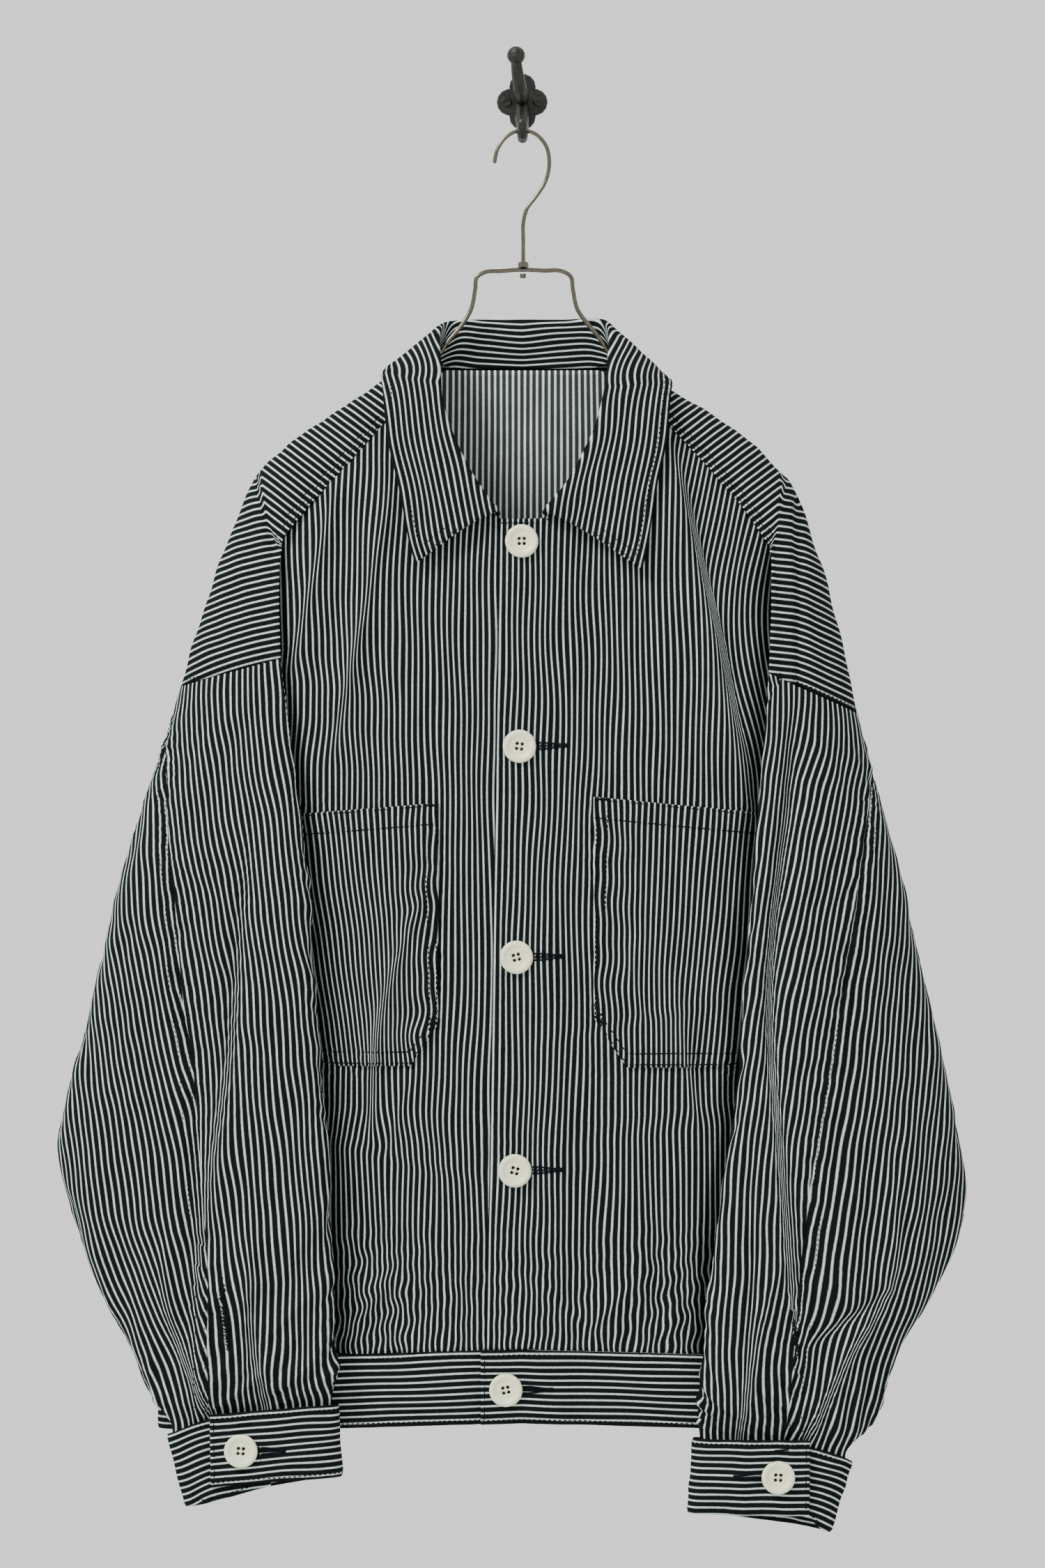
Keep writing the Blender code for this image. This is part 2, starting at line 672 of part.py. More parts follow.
def flat_tube(turns, square):
    """Section of a flattened tube: 0 to 1 across it, and -1 to 1 through it.

    square is 1 for an ellipse and less for blunter edges.
    """
    cosine, sine = np.cos(2 * math.pi * turns), np.sin(2 * math.pi * turns)
    across = (1 - np.sign(cosine) * np.abs(cosine) ** square) / 2
    return across, np.sign(sine) * np.abs(sine) ** square


def sleeve_turns():
    """Places around a sleeve: one for each point along the end of the shoulder piece, two
    near the inner edge, and one for each row of the armhole's table."""
    arc = np.linspace(math.pi / 2, 0, SHOULDER_ARC + 1)
    part = 1 - 2 * np.cos(arc)
    bend = np.sign(part) * np.abs(part) ** (1 / TUBE_SQUARE)
    front = np.arccos(bend) / (2 * math.pi)
    back = np.linspace(0.5, ARMHOLE_BACK, SHOULDER_REAR + 1)[1:]
    return np.array([front[0], *ARMHOLE_FOLD, *front[1:], *back,
                     *column(ARMHOLE_LEFT, "turn")])


def armhole_ring(side, shoulder, armhole):
    """Sewn edge of a sleeve: under the end of the shoulder piece, then round the armhole."""
    rows = shoulder_points(side, shoulder)
    end = rows[-1] - rows[-2]
    end = rows[-1] + end * ARMHOLE_GAP / np.linalg.norm(end, axis=1)[:, None]
    steps = len(ARMHOLE_FOLD) + 1
    fold = [end[0] + (end[1] - end[0]) * k / steps for k in range(1, steps)]
    points = [end[0], *fold, *end[1:]]
    for row in armhole:
        x = side * row.x
        y = {"back": float(back_y(x, row.z)), "side": RIDGE_Y,
             "front": float(front_y(x, row.z))}[row.layer]
        points.append((x, y - row.off, row.z))
    return np.array(points)


def make_sleeves(cloth):
    turns = sleeve_turns()
    even = np.arange(len(turns)) / len(turns)
    wrist_across, wrist_bulge = flat_tube(even, WRIST_SQUARE)
    in_front = np.array([False] * (len(turns) - len(ARMHOLE_LEFT))
                        + [row.layer == "front" for row in ARMHOLE_LEFT])
    for name, side, shoulder, armhole, sections, wrist in (
        ("sleeve_left", -1, SHOULDER_LEFT, ARMHOLE_LEFT, SLEEVE_LEFT, WRIST_LEFT[0]),
        ("sleeve_right", 1, SHOULDER_RIGHT, ARMHOLE_RIGHT, SLEEVE_RIGHT, WRIST_RIGHT[0]),
    ):
        rings = []
        for row, part in zip(sections, np.linspace(0, 1, len(sections))):
            across, bulge = flat_tube(turns + (even - turns) * part, TUBE_SQUARE)
            depth = -np.where(bulge > 0, row.front, row.back) * bulge
            rings.append(np.stack([
                side * (row.in_x + (row.out_x - row.in_x) * across),
                SLEEVE_IN_Y + (row.out_y - SLEEVE_IN_Y) * across + depth,
                row.in_z + (row.out_z - row.in_z) * across,
            ], axis=-1))
        for tuck in (0, WRIST_TUCK):
            rings.append(np.stack([
                side * (wrist.in_x + (wrist.out_x - wrist.in_x) * wrist_across),
                WRIST_Y - WRIST_DEPTH * wrist_bulge,
                wrist.in_z + (wrist.out_z - wrist.in_z) * wrist_across - tuck,
            ], axis=-1))
        top = armhole_ring(side, shoulder, armhole)
        between = []
        for part in (0.25, 0.6):
            ring = top + (rings[0] - top) * part
            clear = front_y(ring[:, 0], ring[:, 2]) - SLEEVE_GAP
            ring[:, 1] = np.where(in_front, np.minimum(ring[:, 1], clear), ring[:, 1])
            between.append(ring)
        cloth_sheet(name, np.array([top, *between, *rings]), CLOTH, cloth, closed=True)


def make_cuffs(cloth):
    for name, side, cuff in (("cuff_left", -1, CUFF_LEFT), ("cuff_right", 1, CUFF_RIGHT)):
        places = np.linspace(0, len(cuff) - 1, CUFF_STEPS)
        way = {part: spline(np.arange(len(cuff)), column(cuff, part), places)
               for part in CUFF.split()}
        top = np.stack([side * way["top_x"], way["y"], way["top_z"]], axis=-1)
        low = np.stack([side * way["low_x"], way["y"], way["low_z"]], axis=-1)
        points = np.array([top, (top + low) / 2, low])
        cloth_sheet(name, points, BAND, cloth)


def make_hem_band(cloth):
    upper_end, under_end = BAND_ENDS
    quarter = np.linspace(0, math.pi / 2, BAND_STEPS + 1)
    spread = np.sin(quarter) ** (2 / LENS_POWER)
    right, left = SIDE_RIGHT + SIDE_SHIFT, SIDE_LEFT + SIDE_SHIFT
    front_right = [(x, "upper") for x in np.linspace(upper_end, 40, 6)]
    front_right += [(x, "upper") for x in right * spread if x > 50]
    back = [(x, "back") for x in right * spread[::-1][1:]]
    back += [(-x, "back") for x in left * spread[1:]]
    front_left = [(-x, "under") for x in left * spread[::-1][1:] if x > 20]
    front_left += [(x, "under") for x in (-12, under_end)]
    rows = []
    for edge, level in ((BAND_TOP, 0), (BAND_LOW, 1)):
        row = []
        for x, layer in front_right + back + front_left:
            z = float(height_at(edge, x))
            if layer == "back":
                y = float(back_y(x, HEM_Z))
                z -= BAND_BACK_DROP * level * smooth_step(1 - abs(x) / left)
            else:
                y = float(front_y(x, HEM_Z, BAND_LAP if layer == "upper" else 0))
            row.append((x, y, z))
        rows.append(row)
    cloth_sheet("hem_band", np.array(rows), BAND, cloth)


def collar_section(row, side):
    """Seam, stand, roll and leaf of the collar at one station."""
    seam = Vector((row["seam_x"], row["seam_y"], row["seam_z"]))
    roll = Vector((row["roll_x"], row["roll_y"], row["roll_z"]))
    edge = Vector((row["edge_x"], row["edge_y"], row["edge_z"]))
    away = edge - seam
    away.z = 0
    away.normalize()
    stand = roll + (seam - roll).normalized() * 4.5
    leaf = roll + (edge - roll).normalized() * 6.5 + away * COLLAR_ROLL
    route = [seam, stand, roll + away * 2, leaf, edge]
    points = evenly([tuple(p) for p in route], 11)
    points[:, 0] *= side
    return points


def make_collar(cloth):
    sections = []
    for side, leaf in ((-1, COLLAR_LEFT), (1, COLLAR_RIGHT)):
        rows = spline(np.arange(len(leaf)), leaf,
                      np.linspace(0, len(leaf) - 1, COLLAR_STATIONS))
        half = [collar_section(dict(zip(LEAF.split(), row)), side) for row in rows]
        sections += half[::-1] if side < 0 else half[1:]
    cloth_sheet("collar", np.array(sections), COLLAR, cloth, facing=(0, -1, 0), centred=True)


def make_pockets(cloth):
    for row in POCKETS:
        part = np.linspace(0, 1, POCKET_STEPS + 1)
        x = row.inner + (row.outer - row.inner) * part
        top = row.top_in + (row.top_out - row.top_in) * part
        corner = np.clip((x - row.inner) / (row.cut_x - row.inner), 0, 1)
        foot = row.cut_z + (row.low - row.cut_z) * corner
        down = np.linspace(0, 1, POCKET_STEPS + 2)[:, None]
        z = top + (foot - top) * down
        x = np.broadcast_to(x, z.shape)
        y = front_y(x, z) - POCKET_GAP - CLOTH
        points = np.stack([x, y, z], axis=-1)
        cloth_sheet(row.name, points, CLOTH, cloth, facing=(0, -1, 0))


# ---------------------------------------------------------------- buttons

def make_button(name, place, material):
    """A four-hole button with a raised rim, facing -Y, its back at the place given."""
    edge, rim, dish = BUTTON_RADIUS, BUTTON_RADIUS - 2.4, BUTTON_RADIUS - 4.0
    profile = (
        (edge - 1.2, 0), (edge, 1.1), (edge, 1.9), (edge - 0.8, BUTTON_HEIGHT - 0.2),
        (rim, BUTTON_HEIGHT), (dish, BUTTON_HEIGHT - 1.1),
    )
    item = turned(name, profile, BUTTON_SIDES, material)
    holes = []
    for k in range(4):
        turn = math.pi / 4 + k * math.pi / 2
        radius = BUTTON_HOLE_OFF
        hole = turned(f"{name}_hole_{k}", ((BUTTON_HOLE, -1), (BUTTON_HOLE, BUTTON_HEIGHT)),
                      6, material)
        hole.location = (radius * math.cos(turn) * MM, radius * math.sin(turn) * MM, 0)
        hole.parent = item
        holes.append(hole)
    combine(item, holes, "DIFFERENCE")
    item.rotation_euler = (math.pi / 2, 0, 0)
    item.location = Vector(place) * MM


def make_buttons(material):
    for name, x, z in FRONT_BUTTONS:
        lap = BAND_LAP if name == "button_hem" else FRONT_LAP
        make_button(name, (x, float(front_y(x, z, lap)) - SEAM_GAP, z), material)
    for (name, x, z), cuff in zip(CUFF_BUTTONS, (CUFF_LEFT, CUFF_RIGHT)):
        nearest = min(row.y for row in cuff)
        make_button(name, (x, nearest - SEAM_GAP, z), material)


# ---------------------------------------------------------------- hook and hanger

def make_wall_hook(iron):
    """Plate of four lobes with an upper prong, a knob and a lower prong, cast in one."""
    def lobe(row):
        item = turned(f"lobe_{LOBES.index(row)}", ((PLATE_LOBE, 0), (PLATE_LOBE, row.thick - 1),
                                                   (PLATE_LOBE - 1, row.thick)), 14, iron)
        item.rotation_euler = (math.pi / 2, 0, 0)
        item.location = (row.x * MM, 0, row.z * MM)
        return item

    lobes = [lobe(row) for row in LOBES]
    hook = lobes[0]
    hook.name = "wall_hook"
    added = lobes[1:]
    for name, prong in (("upper_prong", UPPER_PRONG), ("lower_prong", LOWER_PRONG)):
        way = spline(np.arange(len(prong)), prong, np.linspace(0, len(prong) - 1, 10))
        added.append(swept_tube(name, way[:, :3], way[:, 3], 10, iron))
    steps = np.linspace(-math.pi / 2, math.pi / 2, 8)[1:-1]
    knob = turned("knob", [(KNOB_RADIUS * math.cos(a), KNOB_RADIUS * math.sin(a))
                           for a in steps], 12, iron)
    knob.location = Vector(KNOB) * MM
    added.append(knob)
    combine(hook, added, "UNION")
    bores = []
    for side in (-1, 1):
        bore = turned(f"bore_{side}", ((SCREW_SHANK + 0.3, -1), (SCREW_SHANK + 0.3, 6)),
                      8, iron)
        bore.rotation_euler = (math.pi / 2, 0, 0)
        bore.location = (side * SCREW_X * MM, 0, 0)
        bores.append(bore)
    combine(hook, bores, "DIFFERENCE")


def make_screws(iron):
    for name, side in (("screw_left", -1), ("screw_right", 1)):
        seat = PLATE_THICK + SEAM_GAP
        screw = turned(name, ((SCREW_SHANK, 0.4), (SCREW_SHANK, seat), (SCREW_HEAD, seat),
                              (SCREW_HEAD, seat + 0.5), (SCREW_HEAD * 0.8, seat + 1.4)),
                       16, iron)
        slot = add_object(
            f"{name}_slot",
            [(x, y, z) for x in (-6, 6) for y in (-SCREW_SLOT / 2, SCREW_SLOT / 2)
             for z in (seat + 0.7, seat + 3)],
            [(0, 1, 3, 2), (4, 6, 7, 5), (0, 4, 5, 1), (2, 3, 7, 6), (0, 2, 6, 4),
             (1, 5, 7, 3)], iron)
        face_outwards(slot)
        slot.parent = screw
        combine(screw, [slot], "DIFFERENCE")
        screw.rotation_euler = (math.pi / 2, math.radians(20 * side), 0)
        screw.location = (side * SCREW_X * MM, 0, 0)


def in_plane(route):
    return [(x, RIDGE_Y, z) for x, z in route]


def make_hanger(steel):
    hook = swept_tube("hanger_hook", evenly(in_plane(HOOK_ROUTE), 34), HOOK_WIRE, 6, steel)
    steps = np.linspace(-math.pi / 2, math.pi / 2, 7)[1:-1]
    ball = turned("hook_ball", [(HOOK_BALL * math.cos(a), HOOK_BALL * math.sin(a))
                                for a in steps], 8, steel)
    ball.location = Vector(in_plane(HOOK_ROUTE)[0]) * MM
    combine(hook, [ball], "UNION")

    left = [(-x, z) for x, z in FRAME_LEFT[::-1]]
    route = in_plane([*left, FRAME_MIDDLE, *FRAME_RIGHT])
    swept_tube("hanger_frame", evenly(route, 60), FRAME_WIRE, 6, steel)

    ring = ((NUT_BORE, NUT_LOW), (NUT_RADIUS, NUT_LOW), (NUT_RADIUS, NUT_TOP - 0.8),
            (NUT_RADIUS - 1, NUT_TOP), (NUT_BORE, NUT_TOP))
    sides = 12
    vertices = [
        (r * math.cos(2 * math.pi * k / sides), r * math.sin(2 * math.pi * k / sides), z)
        for k in range(sides) for r, z in ring
    ]
    count = len(ring)
    faces = [
        (k * count + i, (k + 1) % sides * count + i,
         (k + 1) % sides * count + (i + 1) % count, k * count + (i + 1) % count)
        for k in range(sides) for i in range(count)
    ]
    nut = add_object("hanger_nut", vertices, faces, steel)
    face_outwards(nut)
    nut.location = (0.5 * MM, RIDGE_Y * MM, 0)

    radius, top = RIVET_RADIUS, RIVET_TOP
    rivet = turned("hanger_rivet", ((radius * 0.8, top - radius * 1.4),
                                    (radius, top - 1.2), (radius * 0.9, top)), 12, steel)
    rivet.location = (0.3 * MM, RIDGE_Y * MM, -0.6 * MM)


def main():
    clear_scene()
    materials = make_materials()
    cloth = materials["cloth"]
    make_wall_hook(materials["iron"])
    make_screws(materials["iron"])
    make_hanger(materials["steel"])
    make_back(cloth)
    make_fronts(cloth)
    make_shoulders(cloth)
    make_sleeves(cloth)
    make_cuffs(cloth)
    make_hem_band(cloth)
    make_collar(cloth)
    make_pockets(cloth)
    make_buttons(materials["button"])


main()
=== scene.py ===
"""Looks of a hickory-striped shirt jacket that hangs closed on a wire hanger.

Every cloth piece is a thin shell laid on the form of its CAD solid, with its creases,
its sewing and its place on the striped cloth. Lengths are millimetres until a mesh is
made. The wall is y = 0 and the viewer is on the -Y side.
"""

import json
import math
from collections import namedtuple

import bpy
import numpy as np
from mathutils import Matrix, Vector

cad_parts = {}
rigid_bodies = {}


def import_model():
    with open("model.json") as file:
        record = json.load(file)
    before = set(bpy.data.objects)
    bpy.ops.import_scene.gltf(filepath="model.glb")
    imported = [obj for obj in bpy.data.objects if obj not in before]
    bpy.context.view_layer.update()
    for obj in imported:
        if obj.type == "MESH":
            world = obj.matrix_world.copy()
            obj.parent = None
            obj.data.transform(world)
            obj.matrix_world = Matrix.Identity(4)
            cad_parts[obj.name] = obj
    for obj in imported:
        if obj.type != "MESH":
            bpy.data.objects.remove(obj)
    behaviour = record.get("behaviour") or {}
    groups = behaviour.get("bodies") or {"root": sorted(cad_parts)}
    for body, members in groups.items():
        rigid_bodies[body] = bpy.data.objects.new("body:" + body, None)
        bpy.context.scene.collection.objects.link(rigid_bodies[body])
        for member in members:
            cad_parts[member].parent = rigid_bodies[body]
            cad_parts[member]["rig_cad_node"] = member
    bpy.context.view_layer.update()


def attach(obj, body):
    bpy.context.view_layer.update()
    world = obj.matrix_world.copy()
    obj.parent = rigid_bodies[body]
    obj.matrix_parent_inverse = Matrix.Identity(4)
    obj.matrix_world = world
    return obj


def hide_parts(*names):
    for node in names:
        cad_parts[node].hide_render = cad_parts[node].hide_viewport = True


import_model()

MM = 0.001


def table(columns, *rows):
    """Rows whose values are read by the names of the columns."""
    kind = namedtuple("Row", columns)
    return [kind(*row) for row in rows]


def put(name, data):
    """An object in the scene for a mesh, a light or a camera."""
    item = bpy.data.objects.new(name, data)
    bpy.context.scene.collection.objects.link(item)
    return item


def add_mesh(name, points, faces, materials, smooth=True):
    """A mesh from points in millimetres, put in the scene."""
    mesh = bpy.data.meshes.new(name)
    mesh.from_pydata((np.array(points) * MM).tolist(), [], faces)
    mesh.polygons.foreach_set("use_smooth", [smooth] * len(mesh.polygons))
    for material in materials:
        mesh.materials.append(material)
    return put(name, mesh)


# ---- cloth ----
CLOTH = 1.5                 # wall of a single panel
SEAM_GAP = 0.3              # between pieces that are sewn together
RIDGE_Y = -36.0             # plane of the hanger, where the shoulders fold over it
FRONT_DEPTH = 30.0          # how far the front stands out from the hanger's plane
BACK_DEPTH = 22.0           # how far the back lies behind it
FALL = 45.0                 # height over which the cloth reaches that depth
LENS_POWER = 3.2            # how square the body's section is across
SIDE_LEFT = 224.0           # half width of the body under the arms, left and right
SIDE_RIGHT = 221.0
FRONT_LAP = 2.4             # the right front lies this far in front of the left one
LAP_REACH = (14.0, 46.0)    # across this stretch it comes back to the body's surface
CAP_RISE = 5.0              # the fold of the shoulder piece stands this far off the front

# The line over the shoulders, from the centre outwards.
RIDGE_LEFT = table(
    "x z",
    (0, -160), (30, -162), (50, -167.5), (64, -174.5), (92, -190), (109, -200.6),
    (128, -214), (149, -228), (167, -242), (179, -256), (184, -269.6), (191, -283),
    (196, -297), (206.5, -325), (215, -352), (228.5, -394), (241, -440),
)
RIDGE_RIGHT = table(
    "x z",
    (0, -160), (30, -162), (52, -168), (66, -176), (98, -196), (126.5, -214),
    (149.5, -228), (165.6, -242), (177, -256), (183.5, -270), (189, -283), (194.6, -297),
    (199, -311), (207, -339), (213.4, -366), (223.5, -412), (239, -444),
)

# Shoulder pieces: front edge, ridge and back edge, from the neck down to the armhole seam.
# "off" is how far the front edge stands in front of the front panel.
SHOULDER = "front_x front_z ridge_x ridge_z back_x back_z off"
SHOULDER_LEFT = table(
    SHOULDER,
    (64, -193, 64, -174.5, 63, -193, 0),
    (92, -221, 92, -190, 92, -226, 0),
    (115, -247, 128, -214, 122, -251, 0),
    (138, -272, 156, -233, 148, -275, 0.2),
    (159, -297, 178, -255, 170, -303, 0.8),
    (161, -318, 189, -279, 187, -336, 1),
    (161, -345, 202, -313, 198, -369, 1),
    (160.5, -362, 215, -352, 208, -398, 1),
    (160, -377, 228, -395, 216, -421, 1),
)
SHOULDER_RIGHT = table(
    SHOULDER,
    (66, -195, 66, -176, 65, -195, 0),
    (99, -224, 98, -196, 97, -231, 0),
    (124, -251, 131, -217, 125, -254, 0),
    (147, -278, 157, -235, 148, -277, 0.2),
    (165, -304, 178, -257.5, 170, -304, 0.8),
    (165, -325, 188, -280.5, 186, -338, 1),
    (164.5, -350, 200, -314, 196, -372, 1),
    (163.7, -372, 211, -355, 206, -404, 1),
    (163, -387, 223.5, -413, 214, -436, 1),
)
SHOULDER_ARC = 6            # steps from the ridge to the front edge
SHOULDER_REAR = 3           # and to the back edge
SHOULDER_SEAM = 5           # the front is sewn to this many rows; beyond them it goes behind

# Top edge of the front panels inside the shoulder seam (neckline), and outside it, where
# the panel runs on behind the fold of the shoulder piece to the underarm.
NECKLINE_LEFT = table("x z", (-12, -285.5), (15, -285), (33, -269), (47, -248), (58, -222))
NECKLINE_RIGHT = table("x z", (-15, -285.5), (14, -285), (32, -270), (46, -250), (58, -224))
ARMHOLE_FRONT = table("x z", (172, -348), (193, -396), (211, -446))
UNDERARM_Z = -488.0
HEM_Z = -840.0              # where the panels meet the hem band at the sides
SEAM_TURN = 1.6             # the last column but one is this far from the side seam
SEAM_HALF = 0.8             # and the last one this far from its middle, along Y
FRONT_BOTTOM = table("x z", (0, -834), (125, -838), (240, -840))
EDGE_SHIFT = -9.0           # the front edges drift this far across on their way down
SIDE_SHIFT = {-1: 19.0, 1: 4.0}     # and the sides this far out, left and right
NECK_HALF = 53.0            # half width of the seam at the back of the neck, and its height
NECK_Z = -183.0

# Folds: a line down the cloth, how far it stands out, and its width to each side.
FOLD = "x_top z_top x_low z_low rise left right"
FRONT_FOLDS = table(
    FOLD,
    (-84, -240, -105, -345, 3.0, 14, 12),
    (-103, -335, -124, -430, 3.0, 16, 12),
    (-118, -250, -152, -390, 3.2, 13, 12),
    (94, -225, 116, -320, 4.5, 26, 9),
    (113, -305, 151, -466, 5.0, 28, 10),
    (108, -250, 150, -430, -3.0, 8, 16),
    (125, -275, 141, -385, 2.5, 10, 14),
    (-75, -770, -118, -830, 2.5, 14, 14),
    (78, -780, 46, -830, 2.5, 14, 14),
)
BACK_FOLDS = table(
    FOLD,
    (-60, -330, -75, -640, 2.5, 26, 26),
    (70, -350, 55, -700, 2.5, 24, 28),
    (-150, -420, -135, -760, 3.0, 24, 20),
    (155, -430, 140, -740, 3.0, 22, 24),
)

# Sleeves below the armhole: outer and inner edge of the flattened tube.
SLEEVE = "out_x out_z in_x in_z out_y front back"
SLEEVE_LEFT = table(
    SLEEVE,
    (266.5, -522, 141.5, -520, -57, 15, 7),
    (276, -560, 139, -560, -56, 16, 7),
    (292, -628, 134, -628, -56, 17, 7),
    (302, -665, 131, -663, -57, 17, 7),
    (308, -697, 128, -695, -58, 18, 7),
    (304, -725, 127, -722, -59, 18, 7),
    (296, -753, 126, -748, -61, 17, 6.5),
    (280, -794, 124.5, -786, -65, 16, 6),
    (258.5, -835, 123.5, -820, -68, 14, 5),
    (244, -868, 122.5, -849, -71, 12, 4.5),
)
SLEEVE_RIGHT = table(
    SLEEVE,
    (250.7, -522, 151.5, -520, -57, 14, 7),
    (260, -560, 148.4, -560, -56, 15, 7),
    (276, -628, 144, -628, -56, 16, 7),
    (284, -665, 140, -665, -57, 17, 7),
    (290, -697, 136, -697, -58, 18, 7),
    (294, -727, 132, -725, -59, 18, 7),
    (291, -755, 128.6, -753, -61, 17, 6.5),
    (273, -794, 122.6, -792, -65, 16, 6),
    (249, -835, 120, -830, -68, 14, 5),
    (229, -884, 115.5, -870, -71, 12, 4.5),
)
SLEEVE_IN_Y = -77.0         # the inner edge lies in front of the body
TUBE_SQUARE = 0.62          # 1 is an ellipse, less has blunter edges
# The end of the sleeve inside the cuff: edges as above, then the middle and half depth.
WRIST_LEFT = table("out_x out_z in_x in_z", (231, -885, 126, -867.5))
WRIST_RIGHT = table("out_x out_z in_x in_z", (213, -903, 117, -889.5))
WRIST_Y = -73.5
WRIST_DEPTH = 4.4
WRIST_SQUARE = 0.4
WRIST_TUCK = 5.0            # how far it reaches down inside the cuff
# The armhole's seam below the shoulder piece: down the edge of the back to the underarm,
# then up in front of the front panel to the fold. "turn" is the place around the sleeve,
# and "off" how far the edge stands in front of the layer it follows.
ARMHOLE_LEFT = table(
    "turn x z layer off",
    (0.61, 219.9, -452, "back", 0),
    (0.65, 223.2, -483.6, "back", 0),
    (0.69, 226.6, -492, "side", 2),
    (0.74, 223.6, -483.2, "front", 5),
    (0.82, 212, -446, "front", 2.6),
    (0.90, 193, -400, "front", 1.6),
    (0.96, 174, -387, "front", 1.3),
    (0.985, 160.6, -380.5, "front", 1.3),
)
ARMHOLE_RIGHT = table(
    "turn x z layer off",
    (0.61, 217.4, -460, "back", 0),
    (0.65, 220.2, -483.6, "back", 0),
    (0.69, 222.6, -492, "side", 2),
    (0.74, 220.6, -484, "front", 5),
    (0.82, 211, -449, "front", 2.6),
    (0.90, 193, -409, "front", 1.6),
    (0.96, 177, -397, "front", 1.3),
    (0.985, 163.6, -390.5, "front", 1.3),
)
ARMHOLE_FOLD = (0.05, 0.12)  # two more places around the sleeve, next to its inner edge
ARMHOLE_BACK = 0.57         # the place around the sleeve of the shoulder's back edge
ARMHOLE_GAP = 0.7           # between the sleeve's edge and the shoulder piece
SLEEVE_GAP = 2.8            # between the sleeve and the front, where it leaves the panel

# Cuffs: a strip from its end on top of the lap, round the wrist, to its end beneath.
CUFF = "top_x top_z low_x low_z y"
CUFF_LEFT = table(
    CUFF,
    (205.6, -875, 205, -923, -84.5),
    (180, -872.6, 178, -920, -86),
    (145, -870, 143, -918, -85),
    (127, -869.2, 125, -917, -80.5),
    (121.5, -869, 119.5, -917, -74.5),
    (127, -869.6, 125, -917.5, -68.5),
    (160, -875, 157, -923, -66),
    (205, -883.5, 198, -931, -65),
    (229, -888.4, 217, -936, -67.5),
    (235, -889.4, 222, -937, -73),
    (229, -887, 217, -936, -78.5),
    (212, -880, 204, -933, -80.5),
    (188, -874.5, 181, -926.5, -81),
    (172, -872.5, 166, -922.5, -81),
)
CUFF_RIGHT = table(
    CUFF,
    (189, -892, 188.6, -941.6, -84.5),
    (165, -891.6, 163, -941.2, -86),
    (135, -891.4, 132, -941, -85),
    (118, -891.4, 114, -941, -80.5),
    (112.5, -891.4, 108.6, -941, -74.5),
    (118, -892, 114, -941.4, -68.5),
    (150, -896, 144, -945, -66),
    (190, -902, 181, -950, -65),
    (211, -906, 197, -953, -67.5),
    (217.5, -907.4, 203, -954, -73),
    (211, -903.5, 198, -952, -78.5),
    (196, -898.5, 189, -945, -80.5),
    (176, -894.5, 173, -940, -81),
)

# Hem band.
BAND_TOP = table("x z", (0, -834.4), (125, -838.4), (242, -840.4))
BAND_LOW = table("x z", (0, -883), (125, -887), (242, -890))
BAND_BACK_DROP = 2.5        # the back of the band hangs lower than the front
BAND_ENDS = (-27.6, 8.0)    # its two ends: on top, and beneath
BAND_LAP = 3.0              # its upper end lies this far in front

# Collar, from the back centre round to its front end: the seam on the neck, the roll,
# and the outer edge of the leaf.
LEAF = "seam_x seam_y seam_z roll_x roll_y roll_z edge_x edge_y edge_z"
COLLAR_LEFT = table(
    LEAF,
    (0, -21, -181.5, 0, -25, -150, 0, -8, -204),
    (28, -21, -181.5, 24, -25.5, -150, 32, -8, -205),
    (49, -24, -181, 41, -28, -150.5, 62, -11, -204),
    (58, -31, -176, 50, -33, -153, 83, -20, -195),
    (61, -38, -172.5, 54, -40, -160, 93, -38, -186.5),
    (61.5, -48, -184, 53.5, -51, -176, 92.5, -60.5, -203),
    (58.5, -56, -208, 52.5, -61, -200, 89, -68, -234),
    (50, -61.5, -234, 45, -68, -228, 82, -70.5, -264),
    (36, -65, -260, 31, -72, -257, 75.5, -71, -298),
    (15, -67, -283, 13.5, -73.5, -280.5, 71, -72, -315),
)
COLLAR_RIGHT = table(
    LEAF,
    (0, -21, -181.5, 0, -25, -150, 0, -8, -204),
    (28, -21, -181.5, 26, -25.5, -150, 34, -8, -205),
    (50, -24, -181, 46, -28, -150.5, 66, -11, -204),
    (60, -31, -176.5, 54, -33, -153, 88, -20, -198),
    (63, -38, -174, 56, -40, -161, 99, -38, -191),
    (62.5, -48, -186, 55, -51, -178, 98, -60.5, -207),
    (59, -56, -210, 52.5, -61, -203, 95, -68, -236),
    (49.5, -61.5, -236, 44, -68, -231, 88.5, -70.5, -266),
    (35, -66.5, -262, 29, -73.5, -259, 83, -71.5, -302),
    (15, -69, -283.3, 12, -75.5, -281, 79, -73, -319),
)
COLLAR_ROLL = 4.8           # the leaf leaves the roll this far outside the stand

# Patch pockets, as an outline on the front panel: inner edge, top, outer edge, cut corner.
POCKETS = table(
    "name inner top_in outer top_out cut_x cut_z low",
    ("pocket_left", -55.7, -473, -182, -483, -74.5, -619, -647),
    ("pocket_right", 47, -469, 172, -481, 69, -615, -648),
)
POCKET_GAP = 0.7            # between a pocket and the front

# Buttons.
BUTTON_RADIUS = 11.0
BUTTON_HOLE_OFF = 2.3       # from the middle of a button to the middle of a hole
FRONT_BUTTONS = table(
    "name x z",
    ("button_1", -0.5, -300), ("button_2", -2, -435.6), ("button_3", -4, -575),
    ("button_4", -5, -716), ("button_hem", -11, -860.7),
)
CUFF_BUTTONS = table(
    "name x z", ("button_cuff_left", -185, -898.5), ("button_cuff_right", 168, -916),
)

